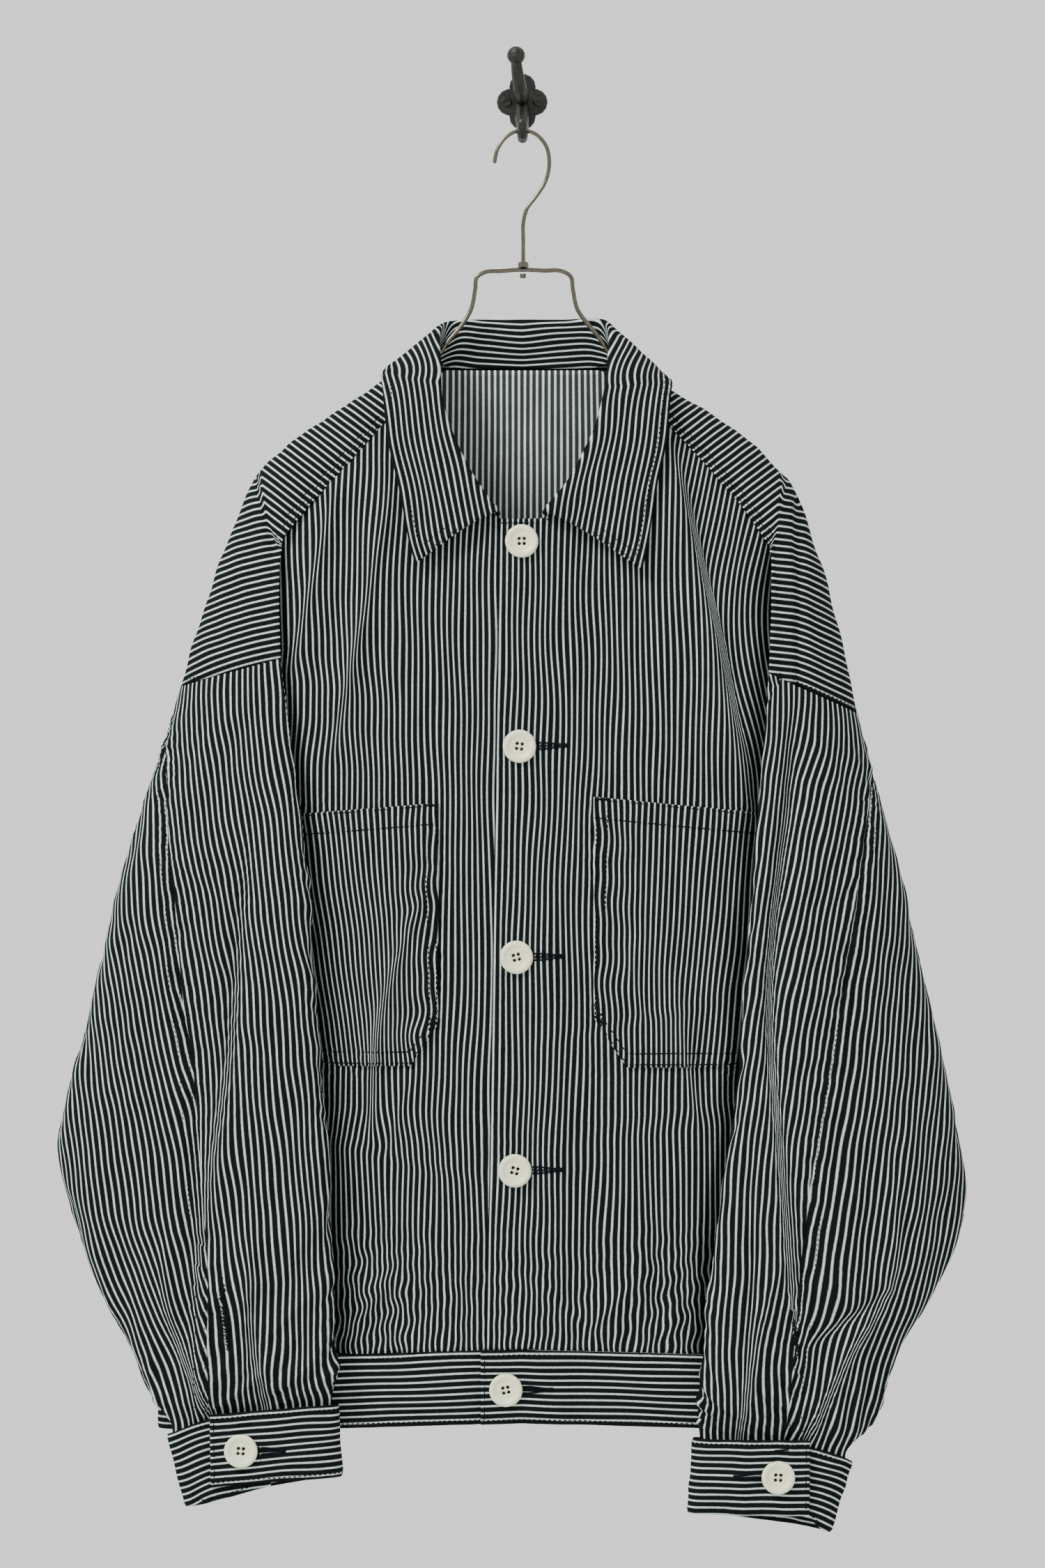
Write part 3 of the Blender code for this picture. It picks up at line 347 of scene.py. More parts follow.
# Hanger: the radius of the wire, and its route.
HOOK_WIRE = 1.35
HOOK_ROUTE = table(
    "x z",
    (-18.8, -46), (-17, -37.5), (-11.5, -29), (-1, -23.9), (9.5, -27), (16, -35),
    (17.9, -45), (15.8, -57), (9.2, -68), (2.9, -76.5), (0.8, -84), (0.5, -98),
    (0.5, -113.6),
)
FRAME_WIRE = 1.45
# The frame's wire, from the middle outwards.
FRAME_LEFT = table(
    "x z",
    (14, -117.9), (26, -119), (30.2, -121.6), (31.6, -130), (34.2, -143), (40.5, -154),
    (50, -165.2), (57.5, -175.8), (65, -181.2), (92, -195), (128, -219), (151, -236),
    (171, -255.5),
)
FRAME_RIGHT = table(
    "x z",
    (14, -117.6), (27, -118.2), (31.6, -120.8), (33.8, -131), (36.5, -143), (42.5, -152),
    (50.5, -161.5), (64, -180.6), (98, -200.8), (128, -220), (150, -236), (170, -257),
)
FRAME_MIDDLE = (0, -117.0)

# ---- how the cloth lies ----
# Millimetres over the stripes for each one along the surface, so that their number is right.
BACK_STRIPE = 1.03
SLEEVE_STRIPE = 1.026
STRIP_STRIPE = 0.97         # the cuffs and the hem band
COLLAR_STRIPE = 1.08
POCKET_STRIPE = 1.037
# Irregular waves: their height, the seed that they are drawn from, and their two sizes.
# Those of the sleeves and pockets count their seeds from the piece's own.
WAVE = "height seed wide tall"
BODY_WAVES = table(WAVE, (0.5, 3, 60, 190), (0.28, 4, 26, 80))
BODY_STRIPE_WAVES = table(WAVE, (0.9, 11, 120, 260), (0.35, 12, 40, 110))
BACK_WAVES = table(WAVE, (0.9, 51, 70, 240), (0.4, 52, 30, 90))
BACK_STRIPE_WAVES = table(WAVE, (0.8, 53, 120, 260))
SLEEVE_WAVES = table(WAVE, (0.8, 0, 60, 150), (0.45, 1, 24, 60))
SLEEVE_STRIPE_WAVES = table(WAVE, (0.6, 7, 90, 160), (0.25, 8, 30, 60))
COLLAR_WAVES = table(WAVE, (0.4, 83, 60, 50))
COLLAR_STRIPE_WAVES = table(WAVE, (0.5, 81, 80, 60))
POCKET_WAVES = table(WAVE, (0.35, 95, 45, 70))
POCKET_STRIPE_WAVES = table(WAVE, (0.6, 91, 90, 140))
CALM_Z = -842.0             # from here down the body's panels have no waves or creases
FOLD_ENDS = 0.25            # share of a fold over which it rises, and falls again
CREASE_ENDS = 0.22          # the same for a crease
STRIP_STITCH = 3.0          # the stitches run this far inside the cuffs' and band's edges

# ---------------------------------------------------------------- small mathematics

def column(rows, name):
    return np.array([getattr(row, name) for row in rows], dtype=float)


def height_at(rows, x):
    """Height, at x to either side of the middle, of a line given by a few points."""
    return np.interp(np.abs(x), column(rows, "x"), column(rows, "z"))


def spline(knots, values, at):
    """Smooth curve through the values (one row for each knot), read at any places."""
    knots = np.asarray(knots, dtype=float)
    values = np.asarray(values, dtype=float)
    flat = values.ndim == 1
    if flat:
        values = values[:, None]
    step = np.diff(knots)
    slope = np.diff(values, axis=0) / step[:, None]
    tangent = np.empty_like(values)
    tangent[0], tangent[-1] = slope[0], slope[-1]
    before, after = step[:-1, None], step[1:, None]
    tangent[1:-1] = (after * slope[:-1] + before * slope[1:]) / (before + after)
    at = np.clip(np.asarray(at, dtype=float), knots[0], knots[-1])
    k = np.clip(np.searchsorted(knots, at, side="right") - 1, 0, len(step) - 1)
    width = step[k]
    t = ((at - knots[k]) / width)[..., None]
    width = width[..., None]
    found = (
        values[k] * (2 * t**3 - 3 * t**2 + 1)
        + tangent[k] * width * (t**3 - 2 * t**2 + t)
        + values[k + 1] * (3 * t**2 - 2 * t**3)
        + tangent[k + 1] * width * (t**3 - t**2)
    )
    return found[..., 0] if flat else found


def smooth_step(value):
    """0 below 0, 1 above 1, and a smooth rise between."""
    value = np.clip(value, 0, 1)
    return value * value * (3 - 2 * value)


def evenly(points, count):
    """The same smooth route, read at evenly spaced places along it."""
    points = np.asarray(points, dtype=float)
    reach = np.concatenate([[0], np.cumsum(np.linalg.norm(np.diff(points, axis=0), axis=1))])
    return spline(reach, points, np.linspace(0, reach[-1], count))


def fold_rise(x, z, folds):
    """How far the folds stand out of the cloth at x, z."""
    total = np.zeros(np.broadcast(x, z).shape)
    for fold in folds:
        run_x, run_z = fold.x_low - fold.x_top, fold.z_low - fold.z_top
        length = math.hypot(run_x, run_z)
        off_x, off_z = x - fold.x_top, z - fold.z_top
        along = (off_x * run_x + off_z * run_z) / length**2
        across = (off_z * run_x - off_x * run_z) / length
        width = np.where(across < 0, fold.left, fold.right)
        ends = smooth_step(along / FOLD_ENDS) * smooth_step((1 - along) / FOLD_ENDS)
        total += fold.rise * ends * np.exp(-((across / width) ** 2))
    return total


# ---------------------------------------------------------------- the body's surface

def ridge_height(x):
    """Height of the shoulder line at x."""
    left = spline(column(RIDGE_LEFT, "x"), column(RIDGE_LEFT, "z"), -np.minimum(x, 0))
    right = spline(column(RIDGE_RIGHT, "x"), column(RIDGE_RIGHT, "z"), np.maximum(x, 0))
    return np.where(x < 0, left, right)


def fullness(x, z):
    """0 at the shoulder line and the side seams, up to 1 in the middle of the body."""
    x, z = np.asarray(x, dtype=float), np.asarray(z, dtype=float)
    fall = np.maximum(ridge_height(x) - z, 0)
    side = np.where(x < 0, SIDE_LEFT, SIDE_RIGHT)
    shift = np.where(x < 0, SIDE_SHIFT[-1], SIDE_SHIFT[1])
    side = side + shift * np.clip((UNDERARM_Z - z) / (UNDERARM_Z - HEM_Z), 0, 1)
    lens = np.sqrt(np.maximum(1 - np.abs(x / side) ** LENS_POWER, 0))
    return np.sqrt(1 - np.exp(-fall / FALL)) * lens


def front_y(x, z, lap=0.0):
    """Outer surface of the front; lap brings the edge of the upper layer forward."""
    full = fullness(x, z)
    start, stop = LAP_REACH
    lift = lap * (1 - smooth_step((np.asarray(x, dtype=float) - start) / (stop - start)))
    deep = (FRONT_DEPTH + fold_rise(x, z, FRONT_FOLDS)) * full
    return RIDGE_Y - np.maximum(deep, SEAM_HALF) - lift


def back_y(x, z):
    """Outer surface of the back."""
    deep = (BACK_DEPTH - fold_rise(x, z, BACK_FOLDS)) * fullness(x, z)
    return RIDGE_Y + np.maximum(deep, SEAM_HALF)


# ---------------------------------------------------------------- the cloth's own detail

# A crease: its route, how far it stands out, its width to each side, and how many
# millimetres of cloth it takes up, so that stripes bunch there and lean beside it.
Crease = namedtuple("Crease", "path rise left right gather", defaults=(0,))

BODY_CREASES = [
    Crease(((-84.6, -248.9), (-93.8, -294.4), (-104.4, -345.5), (-113.6, -381.8),
            (-121, -418.1)), 3.4, 9, 4.5, 6),
    Crease(((-118.2, -247), (-128.3, -282), (-137.5, -318.3), (-150, -368.9)), 3.0, 8, 5, 6),
    Crease(((94.3, -230.9), (105.3, -272.8), (116.4, -320.2), (128.8, -370.8),
            (138, -418.1), (154.1, -478.4)), 4.8, 18, 3.0, 4),
    Crease(((101.2, -237.4), (112.7, -276.5), (124.2, -322.5), (136.2, -370.8),
            (145.4, -414.5)), -3.0, 5, 9),
    Crease(((123.3, -272.8), (132.5, -318.3), (141.7, -354.7)), 2.6, 8, 6),
    Crease(((-82.8, -778.8), (-98.9, -803.2), (-117.3, -824.8)), 2.6, 6, 5, 3),
    Crease(((73.6, -790.3), (59.8, -805.5), (46.9, -818.8)), 2.6, 6, 5, 3),
    Crease(((-56, -515), (-73.1, -551.1), (-86, -585), (-96, -620), (-99.8, -672)),
           3.0, 6, 4, 9),
    Crease(((-66, -648), (-78, -668), (-88, -700)), 1.8, 5, 5, 3),
    Crease(((69, -564), (74.1, -587), (79.6, -610.4)), 1.6, 7, 6, 2),
    Crease(((98.9, -581), (104, -613.2), (109, -641.2), (114.1, -672)), 2.2, 6, 5, 4),
]
SLEEVE_LEFT_CREASES = [
    Crease(((-176.6, -480.2), (-181.7, -515.2), (-187.2, -568.1), (-192.3, -631.6),
            (-198.7, -675.7)), -5.0, 7, 9, 10),
    Crease(((-219, -633), (-214.8, -735.5), (-216.7, -838.1)), -5.0, 7, 8, 5),
    Crease(((-235.1, -748), (-235.1, -797.2), (-206, -876)), 3.6, 8, 6, 12),
    Crease(((-176.6, -742), (-181.2, -829.8)), 3.0, 7, 6, 4),
    Crease(((-182, -790), (-177, -835), (-168.5, -874)), -4.0, 5, 5, 10),
]
SLEEVE_RIGHT_CREASES = [
    Crease(((180.3, -391.9), (175.3, -480.2), (167.9, -533.1), (162.8, -621),
            (164.2, -643.5), (168, -690)), -8.5, 5, 8, 17),
    Crease(((168, -660), (176.6, -725.9), (182.6, -797.6)), -4.0, 8, 9, 4),
    Crease(((244.3, -793.5), (225.4, -805.9), (205.2, -818.3)), -5.0, 6, 6, 7),
    Crease(((242, -695.1), (240.1, -797.6), (220.8, -826.2), (189, -888)), 3.4, 8, 8, 10),
    Crease(((149.3, -679), (150.9, -805), (143, -888)), -4.5, 6, 6, 5),
    Crease(((177.6, -764.5), (162, -796), (154, -827.5), (144.4, -881)), 3.2, 6, 5, 6),
]
# The seam down the front of each sleeve; "inner" and "outer" follow a stripe to each side.
SEAM_LEFT = ((-240, -400), (-237.4, -427.3), (-234.6, -497.7), (-229.5, -533.1),
             (-225.9, -585.6), (-222.2, -621), (-218.5, -633), (-212.5, -708.9),
             (-207, -784.8), (-207, -905))
SEAM_RIGHT = ((237, -400), (233.2, -453.6), (224.5, -506.5), (217.6, -553.4),
              (203.3, -633.4), (192.7, -695.1), (184.5, -766.8), (178.5, -828.5),
              (170, -925))
INNER_LEFT = ((-200, -380), (-195.5, -411.7), (-184.5, -490.8), (-175.3, -550.2),
              (-168.4, -589.7), (-165.1, -629.3), (-161, -688.6), (-155.5, -771),
              (-149.5, -858), (-146, -905))
OUTER_LEFT = ((-243, -380), (-246, -451), (-247, -491), (-243, -550), (-235.5, -590),
              (-228, -629), (-220, -669), (-214, -708), (-209, -748), (-198, -788),
              (-182, -827), (-160, -905))
INNER_RIGHT = ((207, -380), (200, -412), (189, -471), (182, -511), (175, -550),
               (169, -590), (163, -629), (158, -669), (154.5, -708), (153, -748),
               (153.6, -788), (151, -827), (150, -925))
OUTER_RIGHT = ((243, -380), (235.5, -451), (231, -491), (227, -530), (223, -570),
               (218.5, -609.5), (214, -649), (209, -688.6), (204, -728), (197, -768),
               (189, -807), (177, -840), (150, -925))


def measured_from(path, x, z):
    """Signed distance from a route (negative on the viewer's left of a route that runs
    down), and the share of the route passed at the nearest place."""
    path = np.asarray(path, dtype=float)
    steps = np.diff(path, axis=0)
    lengths = np.linalg.norm(steps, axis=1)
    passed = np.concatenate([[0], np.cumsum(lengths)])
    best = np.full(np.shape(x), 1e9)
    signed, share = np.zeros(np.shape(x)), np.zeros(np.shape(x))
    last = len(steps) - 1
    for k, (start, step, length) in enumerate(zip(path, steps, lengths)):
        off_x, off_z = x - start[0], z - start[1]
        t = (off_x * step[0] + off_z * step[1]) / length**2
        t = np.clip(t, -9 if k == 0 else 0, 9 if k == last else 1)
        gap = np.hypot(off_x - t * step[0], off_z - t * step[1])
        side = np.where(off_z * step[0] - off_x * step[1] < 0, -1, 1)
        nearer = gap < best
        best = np.where(nearer, gap, best)
        signed = np.where(nearer, gap * side, signed)
        share = np.where(nearer, (passed[k] + t * length) / passed[-1], share)
    return signed, share


def creased(x, z, creases):
    """How far the creases stand out at x, z."""
    total = np.zeros(np.shape(x))
    for crease in creases:
        path = evenly(crease.path, 4 * len(crease.path))
        off, share = measured_from(path, x, z)
        width = np.where(off < 0, crease.left, crease.right)
        ends = smooth_step(share / CREASE_ENDS) * smooth_step((1 - share) / CREASE_ENDS)
        total += crease.rise * ends * np.exp(-np.abs(off / width) ** 1.6)
    return total


def gathered(x, z, creases, reach=60.0, beyond=0.2):
    """Extra cloth taken up by the creases: a shift of the place across the stripes, which
    grows down each crease and dies away beyond its end."""
    total = np.zeros(np.shape(x))
    for crease in creases:
        if not crease.gather:
            continue
        path = evenly(crease.path, 4 * len(crease.path))
        off, share = measured_from(path, x, z)
        turn = 0.5 * (1 + np.tanh(off / 2.6)) - 0.5
        ends = np.clip(share / 0.7, 0, 1) * smooth_step((1 + beyond - share) / beyond)
        total += crease.gather * ends * turn * np.exp(-(off / reach) ** 2)
    return total


def ripples(a, b, seed, wide, tall, count=9):
    """Irregular waves over the places a, b, about 1 high; wide and tall are their sizes."""
    random = np.random.default_rng(seed)
    total = np.zeros(np.broadcast(a, b).shape)
    for _ in range(count):
        turn_a, turn_b = random.normal(0, 1, 2)
        phase = random.uniform(0, 2 * math.pi)
        total += np.cos(2 * math.pi * (turn_a * a / wide + turn_b * b / tall) + phase)
    return total / math.sqrt(count / 2)


def waves(a, b, rows, seed=0):
    """All the waves of a table together."""
    return sum(row.height * ripples(a, b, seed + row.seed, row.wide, row.tall)
               for row in rows)


def pucker(off, along, seed, reach=7.0, wave=11.0):
    """Small gathers beside a line of stitches; off is the distance from it."""
    gathers = ripples(along, 0 * along, seed, wave, 1e6, 6)
    return gathers * np.exp(-(np.asarray(off) / reach) ** 2)


# ---------------------------------------------------------------- sheets

def chord_sums(points, axis):
    """Length along each row (axis 1) or down each column (axis 0) of a grid."""
    step = np.linalg.norm(np.diff(points, axis=axis), axis=-1)
    shape = list(step.shape)
    shape[axis] = 1
    return np.concatenate([np.zeros(shape), np.cumsum(step, axis=axis)], axis=axis)


class Sheet:
    """A grid of points (rows down, columns across) and its place on the striped cloth.

    across counts millimetres over the stripes, and along runs with them. left and right
    hold across for the two ends of each face, so that it may jump at a seam.
    """

    def __init__(self, name, points, across, along, closed=False, facing=1):
        self.name, self.closed, self.facing = name, closed, facing
        self.shown = None
        self.points = np.array(points, dtype=float)
        rows, columns = self.points.shape[:2]
        self.along = np.broadcast_to(along, (rows, columns)).astype(float)
        across = np.broadcast_to(across, (rows, columns)).astype(float)
        wrapped = np.concatenate([across, across[:, :1]], axis=1) if closed else across
        self.left, self.right = wrapped[:, :-1], wrapped[:, 1:]

    def normals(self):
        points = self.points
        if self.closed:
            points = np.concatenate([points[:, -1:], points, points[:, :1]], axis=1)
        down = np.gradient(points, axis=0)
        over = np.gradient(points, axis=1)
        if self.closed:
            down, over = down[:, 1:-1], over[:, 1:-1]
        normal = np.cross(down, over) * self.facing
        return normal / np.maximum(np.linalg.norm(normal, axis=2), 1e-9)[..., None]

    def raise_by(self, amount):
        """Move every point outward by its own amount."""
        self.shown = None
        self.points = self.points + self.normals() * np.asarray(amount)[..., None]

    def edge_distance(self, edge):
        """Distance of every point from one edge, measured over the sheet."""
        axis = 0 if edge in ("top", "low") else 1
        sums = chord_sums(self.points, axis)
        if edge in ("top", "first"):
            return sums
        whole = sums[-1:] if axis == 0 else sums[:, -1:]
        return whole - sums

    def at(self, row, column):
        """Points and outward directions at any (fractional) rows and columns."""
        rows, columns = self.points.shape[:2]
        if self.closed:
            column = np.mod(column, columns)
        row = np.clip(row, 0, rows - 1.001)
        column = column if self.closed else np.clip(column, 0, columns - 1.001)
        r, c = row.astype(int), column.astype(int)
        far = (c + 1) % columns
        fr, fc = (row - r)[:, None], (column - c)[:, None]
        found = []
        for grid in (self.points, self.normals()):
            found.append((grid[r, c] * (1 - fc) + grid[r, far] * fc) * (1 - fr)
                         + (grid[r + 1, c] * (1 - fc) + grid[r + 1, far] * fc) * fr)
        return found

    def over(self, x, z):
        """Points and outward directions on the viewer's side of the sheet, at x, z."""
        x, z = np.atleast_1d(x).astype(float), np.atleast_1d(z).astype(float)
        if self.shown is None:
            normals = self.normals()
            shown = normals[..., 1] < -0.05
            self.shown = self.points[shown], normals[shown]
        points, normals = self.shown
        found, ways = [], []
        for px, pz in zip(x, z):
            gap = np.hypot(points[:, 0] - px, points[:, 2] - pz)
            close = np.flatnonzero(gap < gap.min() + 1.0)
            k = close[np.argmin(points[close, 1])]
            way = normals[k]
            y = points[k, 1] - ((px - points[k, 0]) * way[0] + (pz - points[k, 2]) * way[2]) \
                / way[1]
            found.append((px, y, pz))
            ways.append(way)
        return np.array(found), np.array(ways)

    def beside(self, edge, inset, start=0.0, stop=1.0, count=160):
        """A route that keeps its distance from an edge, between two shares of it."""
        away = self.edge_distance(edge)
        rows, columns = self.points.shape[:2]
        if edge in ("top", "low"):
            column = np.linspace(start, stop, count) * (columns - 1)
            nearest = np.clip(np.round(column).astype(int), 0, columns - 1)
            order = slice(None) if edge == "top" else slice(None, None, -1)
            places = np.arange(rows)[order]
            row = np.array([np.interp(inset, away[order, c], places) for c in nearest])
            return self.at(row, column)
        row = np.linspace(start, stop, count) * (rows - 1)
        nearest = np.clip(np.round(row).astype(int), 0, rows - 1)
        order = slice(None) if edge == "first" else slice(None, None, -1)
        places = np.arange(columns)[order]
        column = np.array([np.interp(inset, away[r, order], places) for r in nearest])
        return self.at(row, column)

    def make(self, materials, wall):
        """The sheet as a mesh with a wall; the last material is on its reverse side."""
        rows, columns = self.points.shape[:2]
        index = np.arange(rows * columns).reshape(rows, columns)
        if self.closed:
            index = np.concatenate([index, index[:, :1]], axis=1)
        along = self.along
        if self.closed:
            along = np.concatenate([along, along[:, :1]], axis=1)
        corners = [
            (index[:-1, :-1], self.left[:-1], along[:-1, :-1]),
            (index[1:, :-1], self.left[1:], along[1:, :-1]),
            (index[1:, 1:], self.right[1:], along[1:, 1:]),
            (index[:-1, 1:], self.right[:-1], along[:-1, 1:]),
        ]
        if self.facing < 0:
            corners = corners[::-1]
        faces = np.stack([c[0] for c in corners], axis=-1).reshape(-1, 4)
        places = np.stack([np.stack([c[1], c[2]], axis=-1) for c in corners], axis=-2)
        item = add_mesh(self.name, self.points.reshape(-1, 3), faces.tolist(), materials)
        layer = item.data.uv_layers.new(name="cloth")
        layer.data.foreach_set("uv", (places.reshape(-1) * MM).astype(np.float32))
        item.data.update()
        shell = item.modifiers.new("wall", "SOLIDIFY")
        shell.thickness = wall * MM
        shell.offset = -1
        shell.use_even_offset = False
        shell.material_offset = len(materials) - 1
        return item


def lip(sheet, edges, height=0.8, reach=5.0):
    """Raise the sheet beside the edges named, as a folded and stitched edge stands up."""
    nearest = np.min([sheet.edge_distance(edge) for edge in edges], axis=0)
    return height * (1 - smooth_step((nearest - reach * 0.6) / (reach * 0.6)))


def groove(off, depth=0.45, width=1.1):
    """A line of stitches pulls the cloth in; off is the distance from the line."""
    return -depth * np.exp(-(off / width) ** 2)


def turned_under(off, depth, reach):
    """The very edge bends back; off is the distance from it."""
    return -depth * (1 - smooth_step(off / reach))


# ---------------------------------------------------------------- body

FRONT_COLUMNS, FRONT_ROWS = 104, 240
CREVICE_OFF, CREVICE_DEPTH, CREVICE_WIDE = 5.0, 13.0, 9.0
SIDE_BEGINS = 178           # the stripes are measured round the side from here on
FRONT_STRIPE = 1.1          # the body's stripes lie a little closer than the cloth is wide


def crumpled(x, z):
    """1 where the front is rumpled above the hem band beside each sleeve, and less between."""
    beside = np.exp(-((x + 98) / 30) ** 2) + np.exp(-((x - 104) / 24) ** 2)
    return (0.25 + 0.75 * beside) * smooth_step((-z - 735) / 60)


def sleeve_edge(x, z):
    """How far out the inner edge of the shoulder's fold and of the sleeve lies, at z."""
    found = []
    for rows in (SLEEVE_LEFT, SLEEVE_RIGHT):
        route = [(167, -296), (161, -378), *[(row.in_x, row.in_z) for row in rows]]
        route = np.array(route)
        found.append(np.interp(-z, -route[:, 1], route[:, 0]))
    return np.where(x < 0, *found)


def crevice(x, z):
    """The front falls back where it goes behind the sleeve.

    This reaches down to the hem band, which doesn't fall back with it."""
    off = np.abs(x) - sleeve_edge(x, z) - CREVICE_OFF
    return CREVICE_DEPTH * np.exp(-(off / CREVICE_WIDE) ** 2) * smooth_step((-z - 285) / 40)


def calm_at_edges(x, z, reach):
    """0 at the hem band, and from 30 mm beyond reach to each side, where seams have to
    meet; 1 in the middle."""
    return smooth_step((z - CALM_Z) / 20) * (1 - smooth_step((np.abs(x) - reach) / 30))


def body_detail(x, z):
    """What the fronts and the pockets share: creases and small waves."""
    calm = calm_at_edges(x, z, 150)
    low = ripples(x, z, 5, 30, 60) * crumpled(x, z) * 0.9
    form = creased(x, z, BODY_CREASES) + waves(x, z, BODY_WAVES) + low
    return form * calm - crevice(x, z)


def body_across(x, z, side):
    """Place across the stripes on a front panel."""
    fold = np.array(BODY_CREASES[2].path)
    beyond = smooth_step((x - np.interp(-z, -fold[:, 1], fold[:, 0]) - 1) / 6)
    fan = -0.22 * (z + 232) * beyond * smooth_step((z + 470) / 160) if side > 0 else 0 * x
    bend = waves(x, z, BODY_STRIPE_WAVES)
    bend += 1.1 * ripples(x, z, 13, 46, 46) * crumpled(x, z)
    return x * FRONT_STRIPE + fan + bend + gathered(x, z, BODY_CREASES)


def side_excess(x, y, begins):
    """Cloth along each row, beyond what x counts, where the body turns to its side."""
    points = np.stack([x, y], axis=-1)
    run = np.linalg.norm(np.diff(points, axis=1), axis=-1) - np.abs(np.diff(x, axis=1))
    run = run * (np.abs(x[:, 1:]) > begins)
    return np.concatenate([np.zeros((len(x), 1)), np.cumsum(run, axis=1)], axis=1)


def front_sheet(name, side, neckline, shoulder, half_width, lap):
    """A front panel, from its edge at the buttons to the side seam."""
    heads = np.array([(side * x, z) for x, z in
                      front_top(side, neckline, shoulder, half_width)])
    out = np.linspace(heads[0, 0], half_width, FRONT_COLUMNS)
    top_x, top_z = side * out, np.interp(out, heads[:, 0], heads[:, 1])
    reach = (out - out[0]) / (out[-1] - out[0])
    foot_x = top_x + EDGE_SHIFT + (side * SIDE_SHIFT[side] - EDGE_SHIFT) * reach
    foot_z = height_at(FRONT_BOTTOM, foot_x)
    down = np.linspace(0, 1, FRONT_ROWS)[:, None]
    x, z = top_x + (foot_x - top_x) * down, top_z + (foot_z - top_z) * down
    y = front_y(x, z, lap) - body_detail(x, z)
    across = body_across(x, z, side) + side * side_excess(x, y, SIDE_BEGINS) * FRONT_STRIPE
    if side > 0:        # its stripes follow its edge, with a light one just inside
        drift = across[:, :1] - across[:1, :1]
        across = across - drift * (1 - smooth_step((x - 10) / 110))
        across += 0.5 - across[0, 0]
    sheet = Sheet(name, np.stack([x, y, z], axis=-1), across, z, facing=side)
    edge = sheet.edge_distance("first")
    top = sheet.edge_distance("top")
    neck = 1 - smooth_step((np.abs(x) - 56) / 4)
    fine = pucker(edge - 6, z, 21 + side, 6, 12) * 0.3
    fine += (0.9 * (1 - smooth_step((top - 3.5) / 2)) + groove(top - 3, 0.4)) * neck
    low = sheet.edge_distance("low")
    fine += pucker(low, x, 31, 12, 12) * 0.55
    for row in POCKETS:
        if row.inner * side > 0:
            off = pocket_off(row, x, z)
            fine += pucker(off, x + z, 41, 9, 14) * 0.5
    sheet.raise_by(fine + turned_under(edge - 1, 0.5, 3))
    return sheet


def pocket_off(row, x, z):
    """Distance from the outline of a pocket, positive outside it."""
    mid_x, half_x = (row.inner + row.outer) / 2, abs(row.outer - row.inner) / 2
    top = np.interp(x, sorted((row.inner, row.outer)),
                    (row.top_in, row.top_out) if row.inner < row.outer
                    else (row.top_out, row.top_in))
    over_x = np.abs(x - mid_x) - half_x
    over_z = np.maximum(z - top, row.low - z)
    outside = np.hypot(np.maximum(over_x, 0), np.maximum(over_z, 0))
    return outside + np.minimum(np.maximum(over_x, over_z), 0)


def front_top(side, neckline, shoulder, half_width):
    """Heads of a front panel's columns, from its front edge to the side seam."""
    seam = [(row.front_x, row.front_z - SEAM_GAP) for row in shoulder[:SHOULDER_SEAM]]
    sides = [(half_width - SEAM_TURN, UNDERARM_Z + 5), (half_width, UNDERARM_Z)]
    return [(side * x, z) for x, z in [*neckline, *seam, *ARMHOLE_FRONT, *sides]]


def back_sheet():
    """The back, from side seam to side seam."""
    neck = [(x, NECK_Z) for x in np.linspace(-NECK_HALF, NECK_HALF, 5)]
    ends = {}
    for side, shoulder, half_width in (
        (-1, SHOULDER_LEFT, SIDE_LEFT), (1, SHOULDER_RIGHT, SIDE_RIGHT)
    ):
        seam = [(row.back_x, row.back_z - SEAM_GAP) for row in shoulder]
        sides = [(half_width - SEAM_TURN, UNDERARM_Z + 5), (half_width, UNDERARM_Z)]
        ends[side] = [(side * x, z) for x, z in [*seam, *sides]]
    heads = np.array(ends[-1][::-1] + neck + ends[1])
    top_x = np.linspace(-SIDE_LEFT, SIDE_RIGHT, 131)
    top_z = np.interp(top_x, heads[:, 0], heads[:, 1])
    part = (top_x + SIDE_LEFT) / (SIDE_LEFT + SIDE_RIGHT)
    foot_x = top_x + SIDE_SHIFT[1] * part - SIDE_SHIFT[-1] * (1 - part)
    foot_z = height_at(FRONT_BOTTOM, foot_x)
    down = np.linspace(0, 1, 180)[:, None]
    x, z = top_x + (foot_x - top_x) * down, top_z + (foot_z - top_z) * down
    calm = calm_at_edges(x, z, 190)
    y = back_y(x, z) + waves(x, z, BACK_WAVES) * calm * smooth_step((-z - 200) / 60)
    bend = waves(x, z, BACK_STRIPE_WAVES)
    excess = side_excess(x, y, SIDE_BEGINS)
    excess -= excess[:, excess.shape[1] // 2][:, None]
    return Sheet("back_cloth", np.stack([x, y, z], axis=-1),
                 (x + excess) * BACK_STRIPE + bend, z, facing=-1)


# ---------------------------------------------------------------- shoulders

STRAP_RISE = math.radians(38)   # of the strap's stripes
STRAP_END = 165             # distance from the middle at which they begin to fall
STRAP_TURN = (170, -280)    # where rising and falling stripes meet, so that they join
STRAP_FOLD = {-1: (140, 158, 168, 175), 1: (140, 163, 167, 172)}   # where they turn


def arc_shares(count):
    """Angles of a quarter turn, evenly spaced."""
    return np.linspace(0, math.pi / 2, count)


def quarter_turn(ridge, edge, arc):
    """From the ridge, level, round and down to the edge."""
    fall, reach = 1 - np.cos(arc), np.sin(arc)
    part = np.stack([fall, reach, fall], axis=-1)
    return ridge[:, None] + (edge - ridge)[:, None] * part[None]


SHOULDER_ROWS = 80


